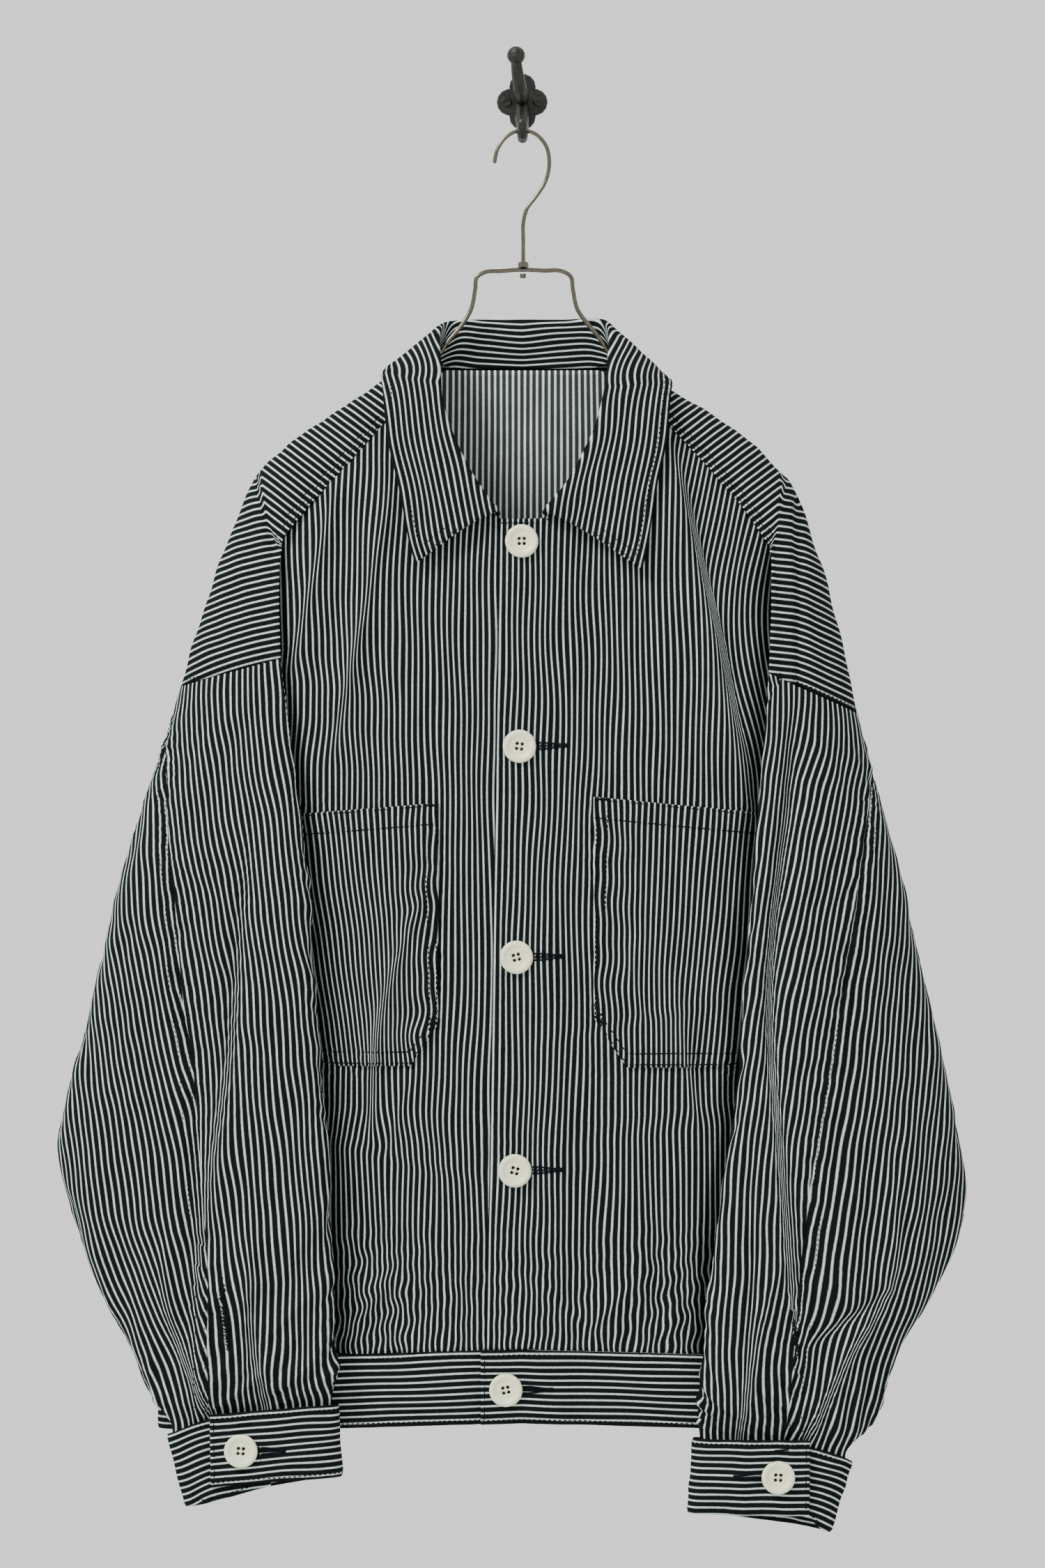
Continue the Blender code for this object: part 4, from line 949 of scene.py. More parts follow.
def shoulder_rows(side, shoulder, rows, front_steps, rear_steps):
    """Rows from the neck to the armhole, each from the front edge over to the back."""
    places = np.linspace(0, len(shoulder) - 1, rows)
    row = {name: np.interp(places, np.arange(len(shoulder)), column(shoulder, name))
           for name in SHOULDER.split()}
    ridge = np.stack([side * row["ridge_x"], np.full(rows, RIDGE_Y), row["ridge_z"]], -1)
    front_x, back_x = side * row["front_x"], side * row["back_x"]
    edge = np.stack([front_x, front_y(front_x, row["front_z"]) - CAP_RISE * row["off"],
                     row["front_z"]], -1)
    rear = np.stack([back_x, back_y(back_x, row["back_z"]), row["back_z"]], -1)
    front = quarter_turn(ridge, edge, arc_shares(front_steps))
    back = quarter_turn(ridge, rear, arc_shares(rear_steps))
    return np.concatenate([front[:, ::-1], back[:, 1:]], axis=1)


def shoulder_across(x, z, side):
    """The strap's stripes rise outward; past the fold at its end they fall outward."""
    x = x * side
    strap = x * math.sin(STRAP_RISE) - z * math.cos(STRAP_RISE)
    off = x - STRAP_END
    if side < 0:
        fall = 0.18 * off + 0.0024 * off**2
    else:
        fall = 0.1 * off + 0.34 * np.maximum(off - 18, 0)
    cap = (-z - fall) * 0.95
    turn_x, turn_z = STRAP_TURN
    level = turn_x * math.sin(STRAP_RISE) - turn_z * math.cos(STRAP_RISE) + turn_z * 0.95
    fold = np.interp(z, (-330, -303, -290, -262), STRAP_FOLD[side])
    past = smooth_step((x - fold) / 3)
    return strap * (1 - past) + (cap + level) * past


def normal_out(sheet):
    """Depth part of the outward direction: below nought on the viewer's side."""
    return sheet.normals()[..., 1]


def shoulder_sheet(name, side, shoulder):
    """A shoulder piece, with its seam on the front and its fold over the sleeve."""
    points = shoulder_rows(side, shoulder, SHOULDER_ROWS, 56, 20)
    x, z = points[..., 0], points[..., 2]
    sheet = Sheet(name, points, shoulder_across(x, z, side), x, facing=side)
    first = sheet.edge_distance("first")
    top = sheet.edge_distance("top")
    seam_end = (SHOULDER_SEAM - 1) / (len(shoulder) - 1)
    sewn = 1 - smooth_step((np.linspace(0, 1, SHOULDER_ROWS)[:, None] - seam_end) / 0.05)
    rise = lip(sheet, ("first",), 0.9, 6)
    for inset in (2.0, 5.0, 8.0):
        rise += groove(first - inset, 0.5) * sewn
    rise += pucker(first, top, 61 + side, 12, 13) * (0.1 + 0.5 * sewn)
    if side > 0:
        valley = (x - 183.5) * smooth_step((-z - 262) / 12)
        rise -= 3.0 * np.exp(-(valley / 3.2) ** 2) * smooth_step((-z - 262) / 12) \
            * (normal_out(sheet) < -0.1)
    else:
        fold = x + 168 - (z + 290) * -0.22
        rise -= 2.4 * np.exp(-(fold / 3.5) ** 2) * smooth_step((-z - 250) / 10) \
            * smooth_step((z + 312) / 12) * (normal_out(sheet) < -0.1)
    low = sheet.edge_distance("low")
    rise += 0.5 * ripples(x, z, 63, 40, 70) * smooth_step(low / 25) * smooth_step(top / 25)
    sheet.raise_by(rise)
    return sheet


# ---------------------------------------------------------------- sleeves

def flat_tube(turns, square):
    """Section of a flattened tube: 0 to 1 across it, and -1 to 1 through it."""
    cosine, sine = np.cos(2 * math.pi * turns), np.sin(2 * math.pi * turns)
    across = (1 - np.sign(cosine) * np.abs(cosine) ** square) / 2
    return across, np.sign(sine) * np.abs(sine) ** square


def sleeve_turns():
    """Places around the sleeve at which its rings have points."""
    arc = np.linspace(math.pi / 2, 0, SHOULDER_ARC + 1)
    part = 1 - 2 * np.cos(arc)
    bend = np.sign(part) * np.abs(part) ** (1 / TUBE_SQUARE)
    front = np.arccos(bend) / (2 * math.pi)
    back = np.linspace(0.5, ARMHOLE_BACK, SHOULDER_REAR + 1)[1:]
    return np.array([front[0], *ARMHOLE_FOLD, *front[1:], *back,
                     *column(ARMHOLE_LEFT, "turn")])


def armhole_ring(side, shoulder, armhole):
    """Sewn edge of a sleeve: under the end of the shoulder piece, then round the armhole."""
    rows = shoulder_rows(side, shoulder, len(shoulder), SHOULDER_ARC + 1, SHOULDER_REAR + 1)
    end = rows[-1] - rows[-2]
    end = rows[-1] + end * ARMHOLE_GAP / np.linalg.norm(end, axis=1)[:, None]
    steps = len(ARMHOLE_FOLD) + 1
    fold = [end[0] + (end[1] - end[0]) * k / steps for k in range(1, steps)]
    points = [end[0], *fold, *end[1:]]
    for row in armhole:
        x = side * row.x
        y = {"back": float(back_y(x, row.z)), "side": RIDGE_Y,
             "front": float(front_y(x, row.z))}[row.layer]
        points.append((x, y - row.off, row.z))
    return np.array(points)


SLEEVE_ROWS, SLEEVE_COLUMNS = 210, 126
TOP_RINGS = 14              # these follow the armhole; seam and stripes are led back to it


def sleeve_rings(side, shoulder, armhole, sections, wrist):
    """Rings of points down a sleeve, from the armhole to inside the cuff."""
    turns = sleeve_turns()
    even = np.arange(len(turns)) / len(turns)
    wrist_across, wrist_bulge = flat_tube(even, WRIST_SQUARE)
    in_front = np.array([False] * (len(turns) - len(ARMHOLE_LEFT))
                        + [row.layer == "front" for row in ARMHOLE_LEFT])
    rings = []
    for row, part in zip(sections, np.linspace(0, 1, len(sections))):
        across, bulge = flat_tube(turns + (even - turns) * part, TUBE_SQUARE)
        depth = -np.where(bulge > 0, row.front, row.back) * bulge
        rings.append(np.stack([
            side * (row.in_x + (row.out_x - row.in_x) * across),
            SLEEVE_IN_Y + (row.out_y - SLEEVE_IN_Y) * across + depth,
            row.in_z + (row.out_z - row.in_z) * across,
        ], axis=-1))
    for tuck in (0, WRIST_TUCK):
        rings.append(np.stack([
            side * (wrist.in_x + (wrist.out_x - wrist.in_x) * wrist_across),
            WRIST_Y - WRIST_DEPTH * wrist_bulge,
            wrist.in_z + (wrist.out_z - wrist.in_z) * wrist_across - tuck,
        ], axis=-1))
    top = armhole_ring(side, shoulder, armhole)
    between = []
    for part in (0.25, 0.6):
        ring = top + (rings[0] - top) * part
        clear = front_y(ring[:, 0], ring[:, 2]) - SLEEVE_GAP
        ring[:, 1] = np.where(in_front, np.minimum(ring[:, 1], clear), ring[:, 1])
        between.append(ring)
    return np.array([top, *between, *rings])


def smooth_tube(rings, rows, columns):
    """The rings as a fine grid, evenly spaced along and around."""
    looped = np.concatenate([rings, rings[:, :1]], axis=1)
    around = np.linalg.norm(np.diff(looped, axis=1), axis=2).mean(axis=0)
    knots = np.concatenate([[0], np.cumsum(around)])
    pad = 3
    wide = np.concatenate([rings[:, -pad:], rings, rings[:, :pad + 1]], axis=1)
    wide_knots = np.concatenate([knots[-pad - 1:-1] - knots[-1], knots[:-1],
                                 knots[:pad + 1] + knots[-1]])
    at = np.linspace(0, knots[-1], columns + 1)[:-1]
    fine = np.stack([spline(wide_knots, ring, at) for ring in wide])
    reach = np.linalg.norm(np.diff(fine, axis=0), axis=2).mean(axis=1)
    down = np.concatenate([[0], np.cumsum(reach)])
    flat = spline(down, fine.reshape(len(fine), -1), np.linspace(0, down[-1], rows))
    return flat.reshape(rows, columns, 3)


def crossing(sheet_points, front, path):
    """For each ring, the fractional column where it crosses a route on its front."""
    places = []
    columns = sheet_points.shape[1]
    for ring, shown in zip(sheet_points, front):
        off, _ = measured_from(path, ring[:, 0], ring[:, 2])
        turned = np.roll(off, -1)
        cross = (off * turned <= 0) & shown & (np.abs(off - turned) < 20)
        found = np.flatnonzero(cross)
        if len(found):
            k = found[0]
            places.append(k + abs(off[k]) / max(abs(off[k]) + abs(turned[k]), 1e-9))
        else:
            hidden = np.where(shown, np.abs(off), 1e9)
            places.append(float(np.argmin(hidden)))
    places = np.unwrap(np.array(places), period=columns)
    slope = (places[TOP_RINGS + 18] - places[TOP_RINGS]) / 18
    places[:TOP_RINGS] = places[TOP_RINGS] + slope * np.arange(-TOP_RINGS, 0)
    return np.convolve(np.pad(places, 4, mode="edge"), np.ones(9) / 9, mode="valid")


def started_at(points, start):
    """The rings of a tube, read from a given (fractional) column onwards."""
    rows, columns = points.shape[:2]
    place = np.mod(start[:, None] + np.arange(columns)[None], columns)
    low = place.astype(int) % columns
    part = (place - np.floor(place))[..., None]
    row = np.arange(rows)[:, None]
    return points[row, low] * (1 - part) + points[row, (low + 1) % columns] * part


def sleeve_sheet(name, side, shoulder, armhole, sections, wrist, creases, seam, inner,
                 outer, seed):
    rings = sleeve_rings(side, shoulder, armhole, sections, wrist)
    points = smooth_tube(rings, SLEEVE_ROWS, SLEEVE_COLUMNS)
    sheet = Sheet(name, points, 0, 0, closed=True, facing=side)
    normals = sheet.normals()
    middle = points.mean(axis=1, keepdims=True)
    if ((points - middle) * normals).sum() < 0:
        sheet.facing = -sheet.facing
        normals = -normals
    seam_at = crossing(points, normals[..., 1] < 0, seam)
    points = started_at(points, seam_at)
    sheet.points = points
    normals = sheet.normals()
    front = normals[..., 1] < 0
    shown = smooth_step((-normals[..., 1] - 0.05) / 0.35)
    x, z = points[..., 0], points[..., 2]
    length = chord_sums(np.concatenate([points, points[:, :1]], axis=1), 1)
    around, whole = length[:, :-1], length[:, -1:]
    down = chord_sums(points, 0)
    half = SLEEVE_COLUMNS // 2
    signed = np.concatenate([length[:, half:-1] - whole, length[:, :half + 1]], axis=1)
    counts, places = [], []
    for guide in (outer, inner):
        place = np.mod(crossing(points, front, guide) + half, SLEEVE_COLUMNS) - half
        places.append(place[:SLEEVE_ROWS // 2].mean())
        counts.append(np.array([[np.interp(p, np.arange(-half, half + 1), row)]
                                for p, row in zip(place, signed)]))
    outer_first = places[0] > places[1]
    if not outer_first:
        counts.reverse()
    bend = waves(x, z, SLEEVE_STRIPE_WAVES, seed)
    inward = np.sign(np.median(x[:, 1] - x[:, 0]))
    facing_viewer = smooth_step(0.5 - normals[..., 1])
    bend += gathered(x, z, creases, 40, 0.7) * facing_viewer * inward
    bend = np.concatenate([bend, bend[:, :1]], axis=1)
    first_half = np.arange(SLEEVE_COLUMNS) < half
    origin = np.where(first_half, counts[0], counts[1] + whole)
    sheet.left = (length[:, :-1] - origin) * SLEEVE_STRIPE + bend[:, :-1]
    sheet.right = (length[:, 1:] - origin) * SLEEVE_STRIPE + bend[:, 1:]
    sheet.along = down
    step = 1 if outer_first else -1
    off_seam = np.where(around > whole / 2, around - whole, around) * step
    # From here on, how far the cloth stands out or in.
    share = np.linspace(0, 1, SLEEVE_ROWS)[:, None]
    calm = smooth_step(share / 0.07) * smooth_step((1 - share) / 0.05)
    clear = np.where(normals[..., 1] > 0, 0.35, 1.0)
    gathers = ripples(around, down * 0.25, seed + 2, 15, 60) \
        * smooth_step((share - 0.83) / 0.1) * 1.1
    rise = creased(x, z, creases) * shown
    rise += waves(around, down, SLEEVE_WAVES, seed) * clear
    rise += gathers * (0.15 + 0.85 * shown)
    near_seam = np.abs(off_seam)
    rise += (pucker(near_seam, down, seed + 3, 9, 13) * 0.8 + groove(near_seam, 0.9, 2.2)
             + 0.5 * np.exp(-((off_seam - 5) / 3) ** 2)) * shown
    rise += pucker(down, around, seed + 4, 14, 15) * 0.45
    sheet.raise_by(rise * calm)
    sheet.step = step
    return sheet


# ---------------------------------------------------------------- bands and collar

def strip_sheet(name, top, low, rows, facing, seed, wave):
    """A strip between two lines of points, its stripes running along it."""
    part = np.linspace(0, 1, rows)[:, None, None]
    points = top[None] + (low - top)[None] * part
    drop, run = chord_sums(points, 0), chord_sums(points, 1)
    across = drop * STRIP_STRIPE + 0.3 * ripples(run, drop, seed, wave, 60)
    return Sheet(name, points, across, run, facing=facing)


def finish_strip(sheet, seed, height, wave, lift):
    """Stitched edges and small waves; lift holds the strip off what lies beneath."""
    drop, run = chord_sums(sheet.points, 0), chord_sums(sheet.points, 1)
    near = np.minimum(sheet.edge_distance("top"), sheet.edge_distance("low"))
    line = near - STRIP_STITCH
    rise = groove(line, 0.4, 0.9) + pucker(line, run, seed + 1, 6, 10) * 0.3
    rise += height * ripples(run, drop, seed + 2, wave, wave)
    rise += turned_under(near, 0.7, 1.4)
    sheet.raise_by(rise + lift)
    return sheet


def cuff_sheet(name, side, cuff, seed):
    """A cuff, with its end that shows on top of the other."""
    places = np.linspace(0, len(cuff) - 1, 190)
    way = {part: spline(np.arange(len(cuff)), column(cuff, part), places)
           for part in CUFF.split()}
    top = np.stack([side * way["top_x"], way["y"], way["top_z"]], axis=-1)
    low = np.stack([side * way["low_x"], way["y"], way["low_z"]], axis=-1)
    sheet = strip_sheet(name, top, low, 26, side, seed, 60)
    middle = sheet.points.mean(axis=(0, 1))
    if ((sheet.points - middle) * sheet.normals()).sum() < 0:
        sheet.facing = -sheet.facing
    return finish_strip(sheet, seed, 0.3, 40, 0.4)


def hem_band_sheet():
    """The hem band, from its upper end on the front all the way round to its lower end."""
    upper_end, under_end = BAND_ENDS
    quarter = np.linspace(0, math.pi / 2, 60)
    spread = np.sin(quarter) ** (2 / LENS_POWER)
    right, left = SIDE_RIGHT + SIDE_SHIFT[1], SIDE_LEFT + SIDE_SHIFT[-1]
    front_right = [(x, "upper") for x in np.linspace(upper_end, 48, 30)]
    front_right += [(x, "upper") for x in right * spread if x > 50]
    back = [(x, "back") for x in right * spread[::-1][1:]]
    back += [(-x, "back") for x in left * spread[1:]]
    front_left = [(-x, "under") for x in left * spread[::-1][1:] if x > 20]
    front_left += [(x, "under") for x in np.linspace(-18, under_end, 12)]
    rows = []
    for edge, level in ((BAND_TOP, 0), (BAND_LOW, 1)):
        row = []
        for x, layer in front_right + back + front_left:
            z = float(height_at(edge, x))
            if layer == "back":
                y = float(back_y(x, HEM_Z))
                peeks = smooth_step((x - 42) / 16) * smooth_step((128 - x) / 14)
                z -= level * float(BAND_BACK_DROP * peeks - 1.0)
            else:
                y = float(front_y(x, HEM_Z, BAND_LAP if layer == "upper" else 0))
            row.append((x, y, z))
        rows.append(evenly(row, 460))
    top, low = rows
    return finish_strip(strip_sheet("hem_band_cloth", top, low, 24, 1, 71, 90),
                        71, 0.35, 60, 0.5)


COLLAR_COLUMNS = 60


def collar_section(row, side):
    """Seam, stand, roll and leaf of the collar at one station."""
    seam = Vector((row["seam_x"], row["seam_y"], row["seam_z"]))
    roll = Vector((row["roll_x"], row["roll_y"], row["roll_z"]))
    edge = Vector((row["edge_x"], row["edge_y"], row["edge_z"]))
    away = edge - seam
    away.z = 0
    away.normalize()
    stand = roll + (seam - roll).normalized() * 4.5
    leaf = roll + (edge - roll).normalized() * 6.5 + away * COLLAR_ROLL
    route = [seam, stand, roll + away * 2, leaf, edge]
    points = evenly([tuple(p) for p in route], COLLAR_COLUMNS)
    points[:, 0] *= side
    return points


def collar_sheet():
    """The whole collar, from its left front end to its right one."""
    sections = []
    for side, leaf in ((-1, COLLAR_LEFT), (1, COLLAR_RIGHT)):
        rows = spline(np.arange(len(leaf)), leaf, np.linspace(0, len(leaf) - 1, 110))
        half = [collar_section(dict(zip(LEAF.split(), row)), side) for row in rows]
        sections += half[::-1] if side < 0 else half[1:]
    points = np.array(sections)
    width = chord_sums(points, 1)
    run = chord_sums(points, 0)
    from_edge = width[:, -1:] - width
    count = len(points) // 2
    station = np.abs(np.arange(len(points)) - count) / count * 9
    flat = smooth_step((station[:, None] - 3.3) / 2.8) * np.ones_like(width)
    across = from_edge.copy()
    for half in (slice(0, count), slice(count, None)):
        edge = points[half, -1]
        lies = (np.abs(edge[:, 0]) > 0) & (station[half] > 4)
        path = edge[lies][:, (0, 2)]
        path = path if path[0, 1] > path[-1, 1] else path[::-1]
        off, _ = measured_from(path, points[half, :, 0], points[half, :, 2])
        off = np.abs(off)
        across[half] = from_edge[half] * (1 - flat[half]) + off * flat[half]
    across = -across * COLLAR_STRIPE + waves(run, width, COLLAR_STRIPE_WAVES)
    sheet = Sheet("collar_cloth", points, across, run, facing=1)
    outward = sheet.normals()[len(points) // 4, 45]
    if outward[1] > 0:
        sheet.facing = -1
    edge = sheet.edge_distance("last")
    ends = np.minimum(sheet.edge_distance("top"), sheet.edge_distance("low"))
    near = np.minimum(edge, ends)
    rise = 1.0 + groove(near - 2, 0.4, 0.9) + groove(near - 7.5, 0.4, 0.9)
    rise += pucker(near - 4, run + width, 82, 7, 10) * 0.35
    rise += waves(run, width, COLLAR_WAVES)
    rise += turned_under(near, 0.8, 1.4)
    sheet.raise_by(rise)
    return sheet


# ---------------------------------------------------------------- pockets

def pocket_sheet(row):
    """A pocket, laid on its front."""
    side = 1 if row.inner > 0 else -1
    part = np.linspace(0, 1, 64)
    x = row.inner + (row.outer - row.inner) * part
    top = row.top_in + (row.top_out - row.top_in) * part
    corner = np.clip((x - row.inner) / (row.cut_x - row.inner), 0, 1)
    foot = row.cut_z + (row.low - row.cut_z) * corner
    down = np.linspace(0, 1, 84)[:, None]
    z = top + (foot - top) * down
    x = np.broadcast_to(x, z.shape)
    y = front_y(x, z) - POCKET_GAP - CLOTH - body_detail(x, z)
    lean = {-1: 0.15, 1: -0.08}[side]
    across = x * POCKET_STRIPE + lean * (z + 470) * smooth_step((np.abs(x) - 60) / 80)
    inside = np.abs(x - row.inner)
    wave = ripples(x, z, 97 + side, 80, 34) * np.exp(-((inside - 10) / 16) ** 2)
    across = across + waves(x, z, POCKET_STRIPE_WAVES, side) + 0.8 * wave
    across = across + gathered(x, z, BODY_CREASES)
    sheet = Sheet(row.name + "_cloth", np.stack([x, y, z], axis=-1), across, z, facing=side)
    sheet.raise_by(0.6 * wave)
    near = np.min([sheet.edge_distance(e) for e in ("first", "last", "low")], axis=0)
    top_off = sheet.edge_distance("top")
    rise = groove(near - 2, 0.35, 0.9) + groove(near - 9.5, 0.35, 0.9)
    rise += groove(top_off - 14, 0.35, 0.9)
    run = x + z
    rise += pucker(near - 5, run, 93 + side, 8, 12) * 0.4
    rise += waves(x, z, POCKET_WAVES, side) * smooth_step(near / 12)
    rise += turned_under(np.minimum(near, top_off), 0.6, 1.2)
    sheet.raise_by(rise)
    return sheet


# ---------------------------------------------------------------- stitches

STITCH, STITCH_GAP = 2.3, 1.1


class Thread:
    """Stitches of one colour, gathered into one mesh."""

    def __init__(self, name):
        self.name, self.vertices, self.faces = name, [], []

    def sew(self, route, length=STITCH, gap=STITCH_GAP, radius=0.32, lift=0.3):
        points, normals = route
        reach = np.concatenate([[0], np.cumsum(np.linalg.norm(np.diff(points, axis=0),
                                                              axis=1))])
        starts = np.arange(gap / 2, reach[-1] - length, length + gap)
        for start in starts:
            at = np.interp([start, start + length], reach, np.arange(len(reach)))
            low = at.astype(int)
            high = np.minimum(low + 1, len(reach) - 1)
            part = (at - low)[:, None]
            ends = points[low] * (1 - part) + points[high] * part
            normal = normals[low[0]]
            self.stitch(ends[0], ends[1], normal, radius, lift)

    def stitch(self, start, stop, normal, radius, lift):
        way = stop - start
        length = np.linalg.norm(way)
        if length < 0.3:
            return
        normal = normal / max(np.linalg.norm(normal), 1e-9)
        side = np.cross(way / length, normal)
        first = len(self.vertices)
        self.vertices.append(start - normal * 0.25)
        for share in (0.22, 0.78):
            centre = start + way * share + normal * lift
            for k in range(5):
                turn = 2 * math.pi * k / 5
                self.vertices.append(centre + radius * (math.cos(turn) * side
                                                        + math.sin(turn) * normal))
        self.vertices.append(stop - normal * 0.25)
        for k in range(5):
            n = (k + 1) % 5
            self.faces.append((first, first + 1 + k, first + 1 + n))
            self.faces.append((first + 1 + k, first + 6 + k, first + 6 + n, first + 1 + n))
            self.faces.append((first + 11, first + 6 + n, first + 6 + k))

    def make(self, material):
        return add_mesh(self.name, self.vertices, self.faces, [material])


def satin(dark_stitches_and_hole_shade, sheet, starts, stops, radius=0.36):
    """Close stitches side by side, from each start to each stop, given as (x, z)."""
    starts, stops = np.array(starts, dtype=float), np.array(stops, dtype=float)
    low, ways = sheet.over(starts[:, 0], starts[:, 1])
    high, _ = sheet.over(stops[:, 0], stops[:, 1])
    for start, stop, way in zip(low, high, ways):
        dark_stitches_and_hole_shade.stitch(start, stop, way, radius, 0.3)


def buttonhole(dark_stitches_and_hole_shade, sheet, x, z, way, reach=30.0, slant=0.0):
    """The end of a buttonhole that shows beside its button: two rows of close stitches
    that draw together towards a bar."""
    places = np.arange(8.5, reach - 1, 0.62)
    open_by = 1.25 * (1 - smooth_step((places - 14) / (reach - 15))) + 0.15
    for row in (-1, 1):
        middle = z + slant * places
        satin(dark_stitches_and_hole_shade, sheet,
              np.stack([x + way * places, middle + row * open_by], -1),
              np.stack([x + way * (places + 0.2), middle + row * (open_by + 1.5)], -1))
    middle = z + slant * places
    satin(dark_stitches_and_hole_shade, sheet, np.stack([x + way * places, middle - open_by], -1)[::2],
          np.stack([x + way * (places + 1), middle + open_by], -1)[::2], 0.45)
    bars = np.arange(-1.2, 1.3, 0.6)
    satin(dark_stitches_and_hole_shade, sheet,
          np.stack([x + way * (reach + bars), z + slant * reach - 2.0 + 0 * bars], -1),
          np.stack([x + way * (reach + bars), z + slant * reach + 2.0 + 0 * bars], -1))


def bar_tack(dark_stitches_and_hole_shade, sheet, x, z, run_x, run_z, tall=2.2):
    """A short thick bar of close stitches along (run_x, run_z) from x, z."""
    length = math.hypot(run_x, run_z)
    share = np.arange(0, length, 0.62) / length
    across_x, across_z = -run_z / length * tall / 2, run_x / length * tall / 2
    middle_x, middle_z = x + run_x * share, z + run_z * share
    satin(dark_stitches_and_hole_shade, sheet, np.stack([middle_x - across_x, middle_z - across_z], -1),
          np.stack([middle_x + across_x, middle_z + across_z], -1))


def scribble(dark_stitches_and_hole_shade, sheet, start, stop, wide):
    """Rough close stitches that strengthen a slit, from start to stop, given as (x, z)."""
    count = int(abs(start[1] - stop[1]) / 0.75)
    share = np.linspace(0, 1, count)
    random = np.random.default_rng(7)
    middle_x = start[0] + (stop[0] - start[0]) * share + random.normal(0, 0.6, count)
    middle_z = start[1] + (stop[1] - start[1]) * share
    half = wide * (0.4 + 0.6 * random.random(count)) * np.sin(math.pi * (0.1 + 0.8 * share))
    satin(dark_stitches_and_hole_shade, sheet, np.stack([middle_x - half, middle_z + 0.6], -1),
          np.stack([middle_x + half, middle_z - 0.6], -1), 0.45)


# ---------------------------------------------------------------- buttons

def button_profile(radius):
    """Height of a button's face over its radius: rolled edge, raised rim, dished middle."""
    knots = (0, 4.6, 6.2, 7.4, 8.6, 9.8, 10.6, 11.0)
    heights = (2.0, 2.0, 2.15, 2.75, 3.2, 3.1, 2.5, 1.6)
    return spline(knots, heights, radius)


def make_button(name, place, turn, material):
    """A turned button with four holes, its back at the place given."""
    rings, sides = 34, 72
    radii = BUTTON_RADIUS * np.linspace(0.02, 1, rings)
    angle = np.linspace(0, 2 * math.pi, sides + 1)[:-1]
    a, b = radii[:, None] * np.cos(angle), radii[:, None] * np.sin(angle)
    height = button_profile(np.hypot(a, b))
    for k in range(4):
        way = turn + math.pi / 4 + k * math.pi / 2
        off = np.hypot(a - BUTTON_HOLE_OFF * math.cos(way), b - BUTTON_HOLE_OFF * math.sin(way))
        height = np.where(off < 1.2, -0.2, height - 0.3 * np.exp(-((off - 1.2) / 0.5) ** 2))
    under = [(radii[-1], 1.1), (radii[-1] - 1.2, 0.0)]
    vertices = [(0, 0, float(button_profile(0)))]
    for i in range(rings):
        vertices += list(zip(a[i], b[i], height[i]))
    for radius, z in under:
        vertices += [(radius * math.cos(t), radius * math.sin(t), z) for t in angle]
    vertices.append((0, 0, 0))
    faces = []
    total = rings + len(under)
    for k in range(sides):
        n = (k + 1) % sides
        faces.append((0, 1 + k, 1 + n))
        for i in range(total - 1):
            base, after = 1 + i * sides, 1 + (i + 1) * sides
            faces.append((base + k, after + k, after + n, base + n))
        base = 1 + (total - 1) * sides
        faces.append((len(vertices) - 1, base + n, base + k))
    item = add_mesh(name, vertices, faces, [material])
    item.rotation_euler = (math.pi / 2, 0, 0)
    item.location = Vector(place) * MM
    return item


# ---------------------------------------------------------------- wires

def tube(name, route, radius, sides, material, count):
    """A round wire along a route, with rounded ends."""
    route = evenly(route, count)
    way = np.gradient(route, axis=0)
    way /= np.linalg.norm(way, axis=1)[:, None]
    side = np.cross(way, (0, 1, 0))
    side /= np.maximum(np.linalg.norm(side, axis=1), 1e-9)[:, None]
    other = np.cross(way, side)
    radii = np.full(count, float(radius))
    radii[0] = radii[-1] = radius * 0.6
    vertices, faces = [], []
    for centre, a, b, r in zip(route, side, other, radii):
        for k in range(sides):
            turn = 2 * math.pi * k / sides
            vertices.append(centre + r * (math.cos(turn) * a + math.sin(turn) * b))
    for i in range(count - 1):
        for k in range(sides):
            n = (k + 1) % sides
            faces.append((i * sides + k, i * sides + n, (i + 1) * sides + n,
                          (i + 1) * sides + k))
    faces.append(tuple(range(sides))[::-1])
    faces.append(tuple((count - 1) * sides + k for k in range(sides)))
    return add_mesh(name, vertices, faces, [material])


# ---------------------------------------------------------------- materials

PITCH = 4.2                 # from one light stripe to the next
LIGHT_SHARE = 0.23          # how much of that is the light stripe
REVERSE_SHARE = 0.33        # and on the cloth's reverse side
STRIPE_BLUR = 0.1           # how softly a stripe ends to each side, as a share of the pitch
# Colours, in linear light.
DARK_STRIPE, LIGHT_STRIPE = (0.0042, 0.0062, 0.0058), (0.56, 0.655, 0.62)
REVERSE_DARK, REVERSE_LIGHT = (0.03, 0.041, 0.036), (0.76, 0.83, 0.78)
# The dark thread's colour is also used for the plugs that paint shade into the button holes.
DARK_THREAD_AND_HOLE_SHADE, PALE_THREAD = (0.0035, 0.0035, 0.007), (0.75, 0.75, 0.7)
IVORY, FLOOR_GREY = (0.77, 0.79, 0.53), (0.8, 0.8, 0.8)
IRON, BRIGHT_STEEL = (0.02, 0.02, 0.017), (0.13, 0.118, 0.088)


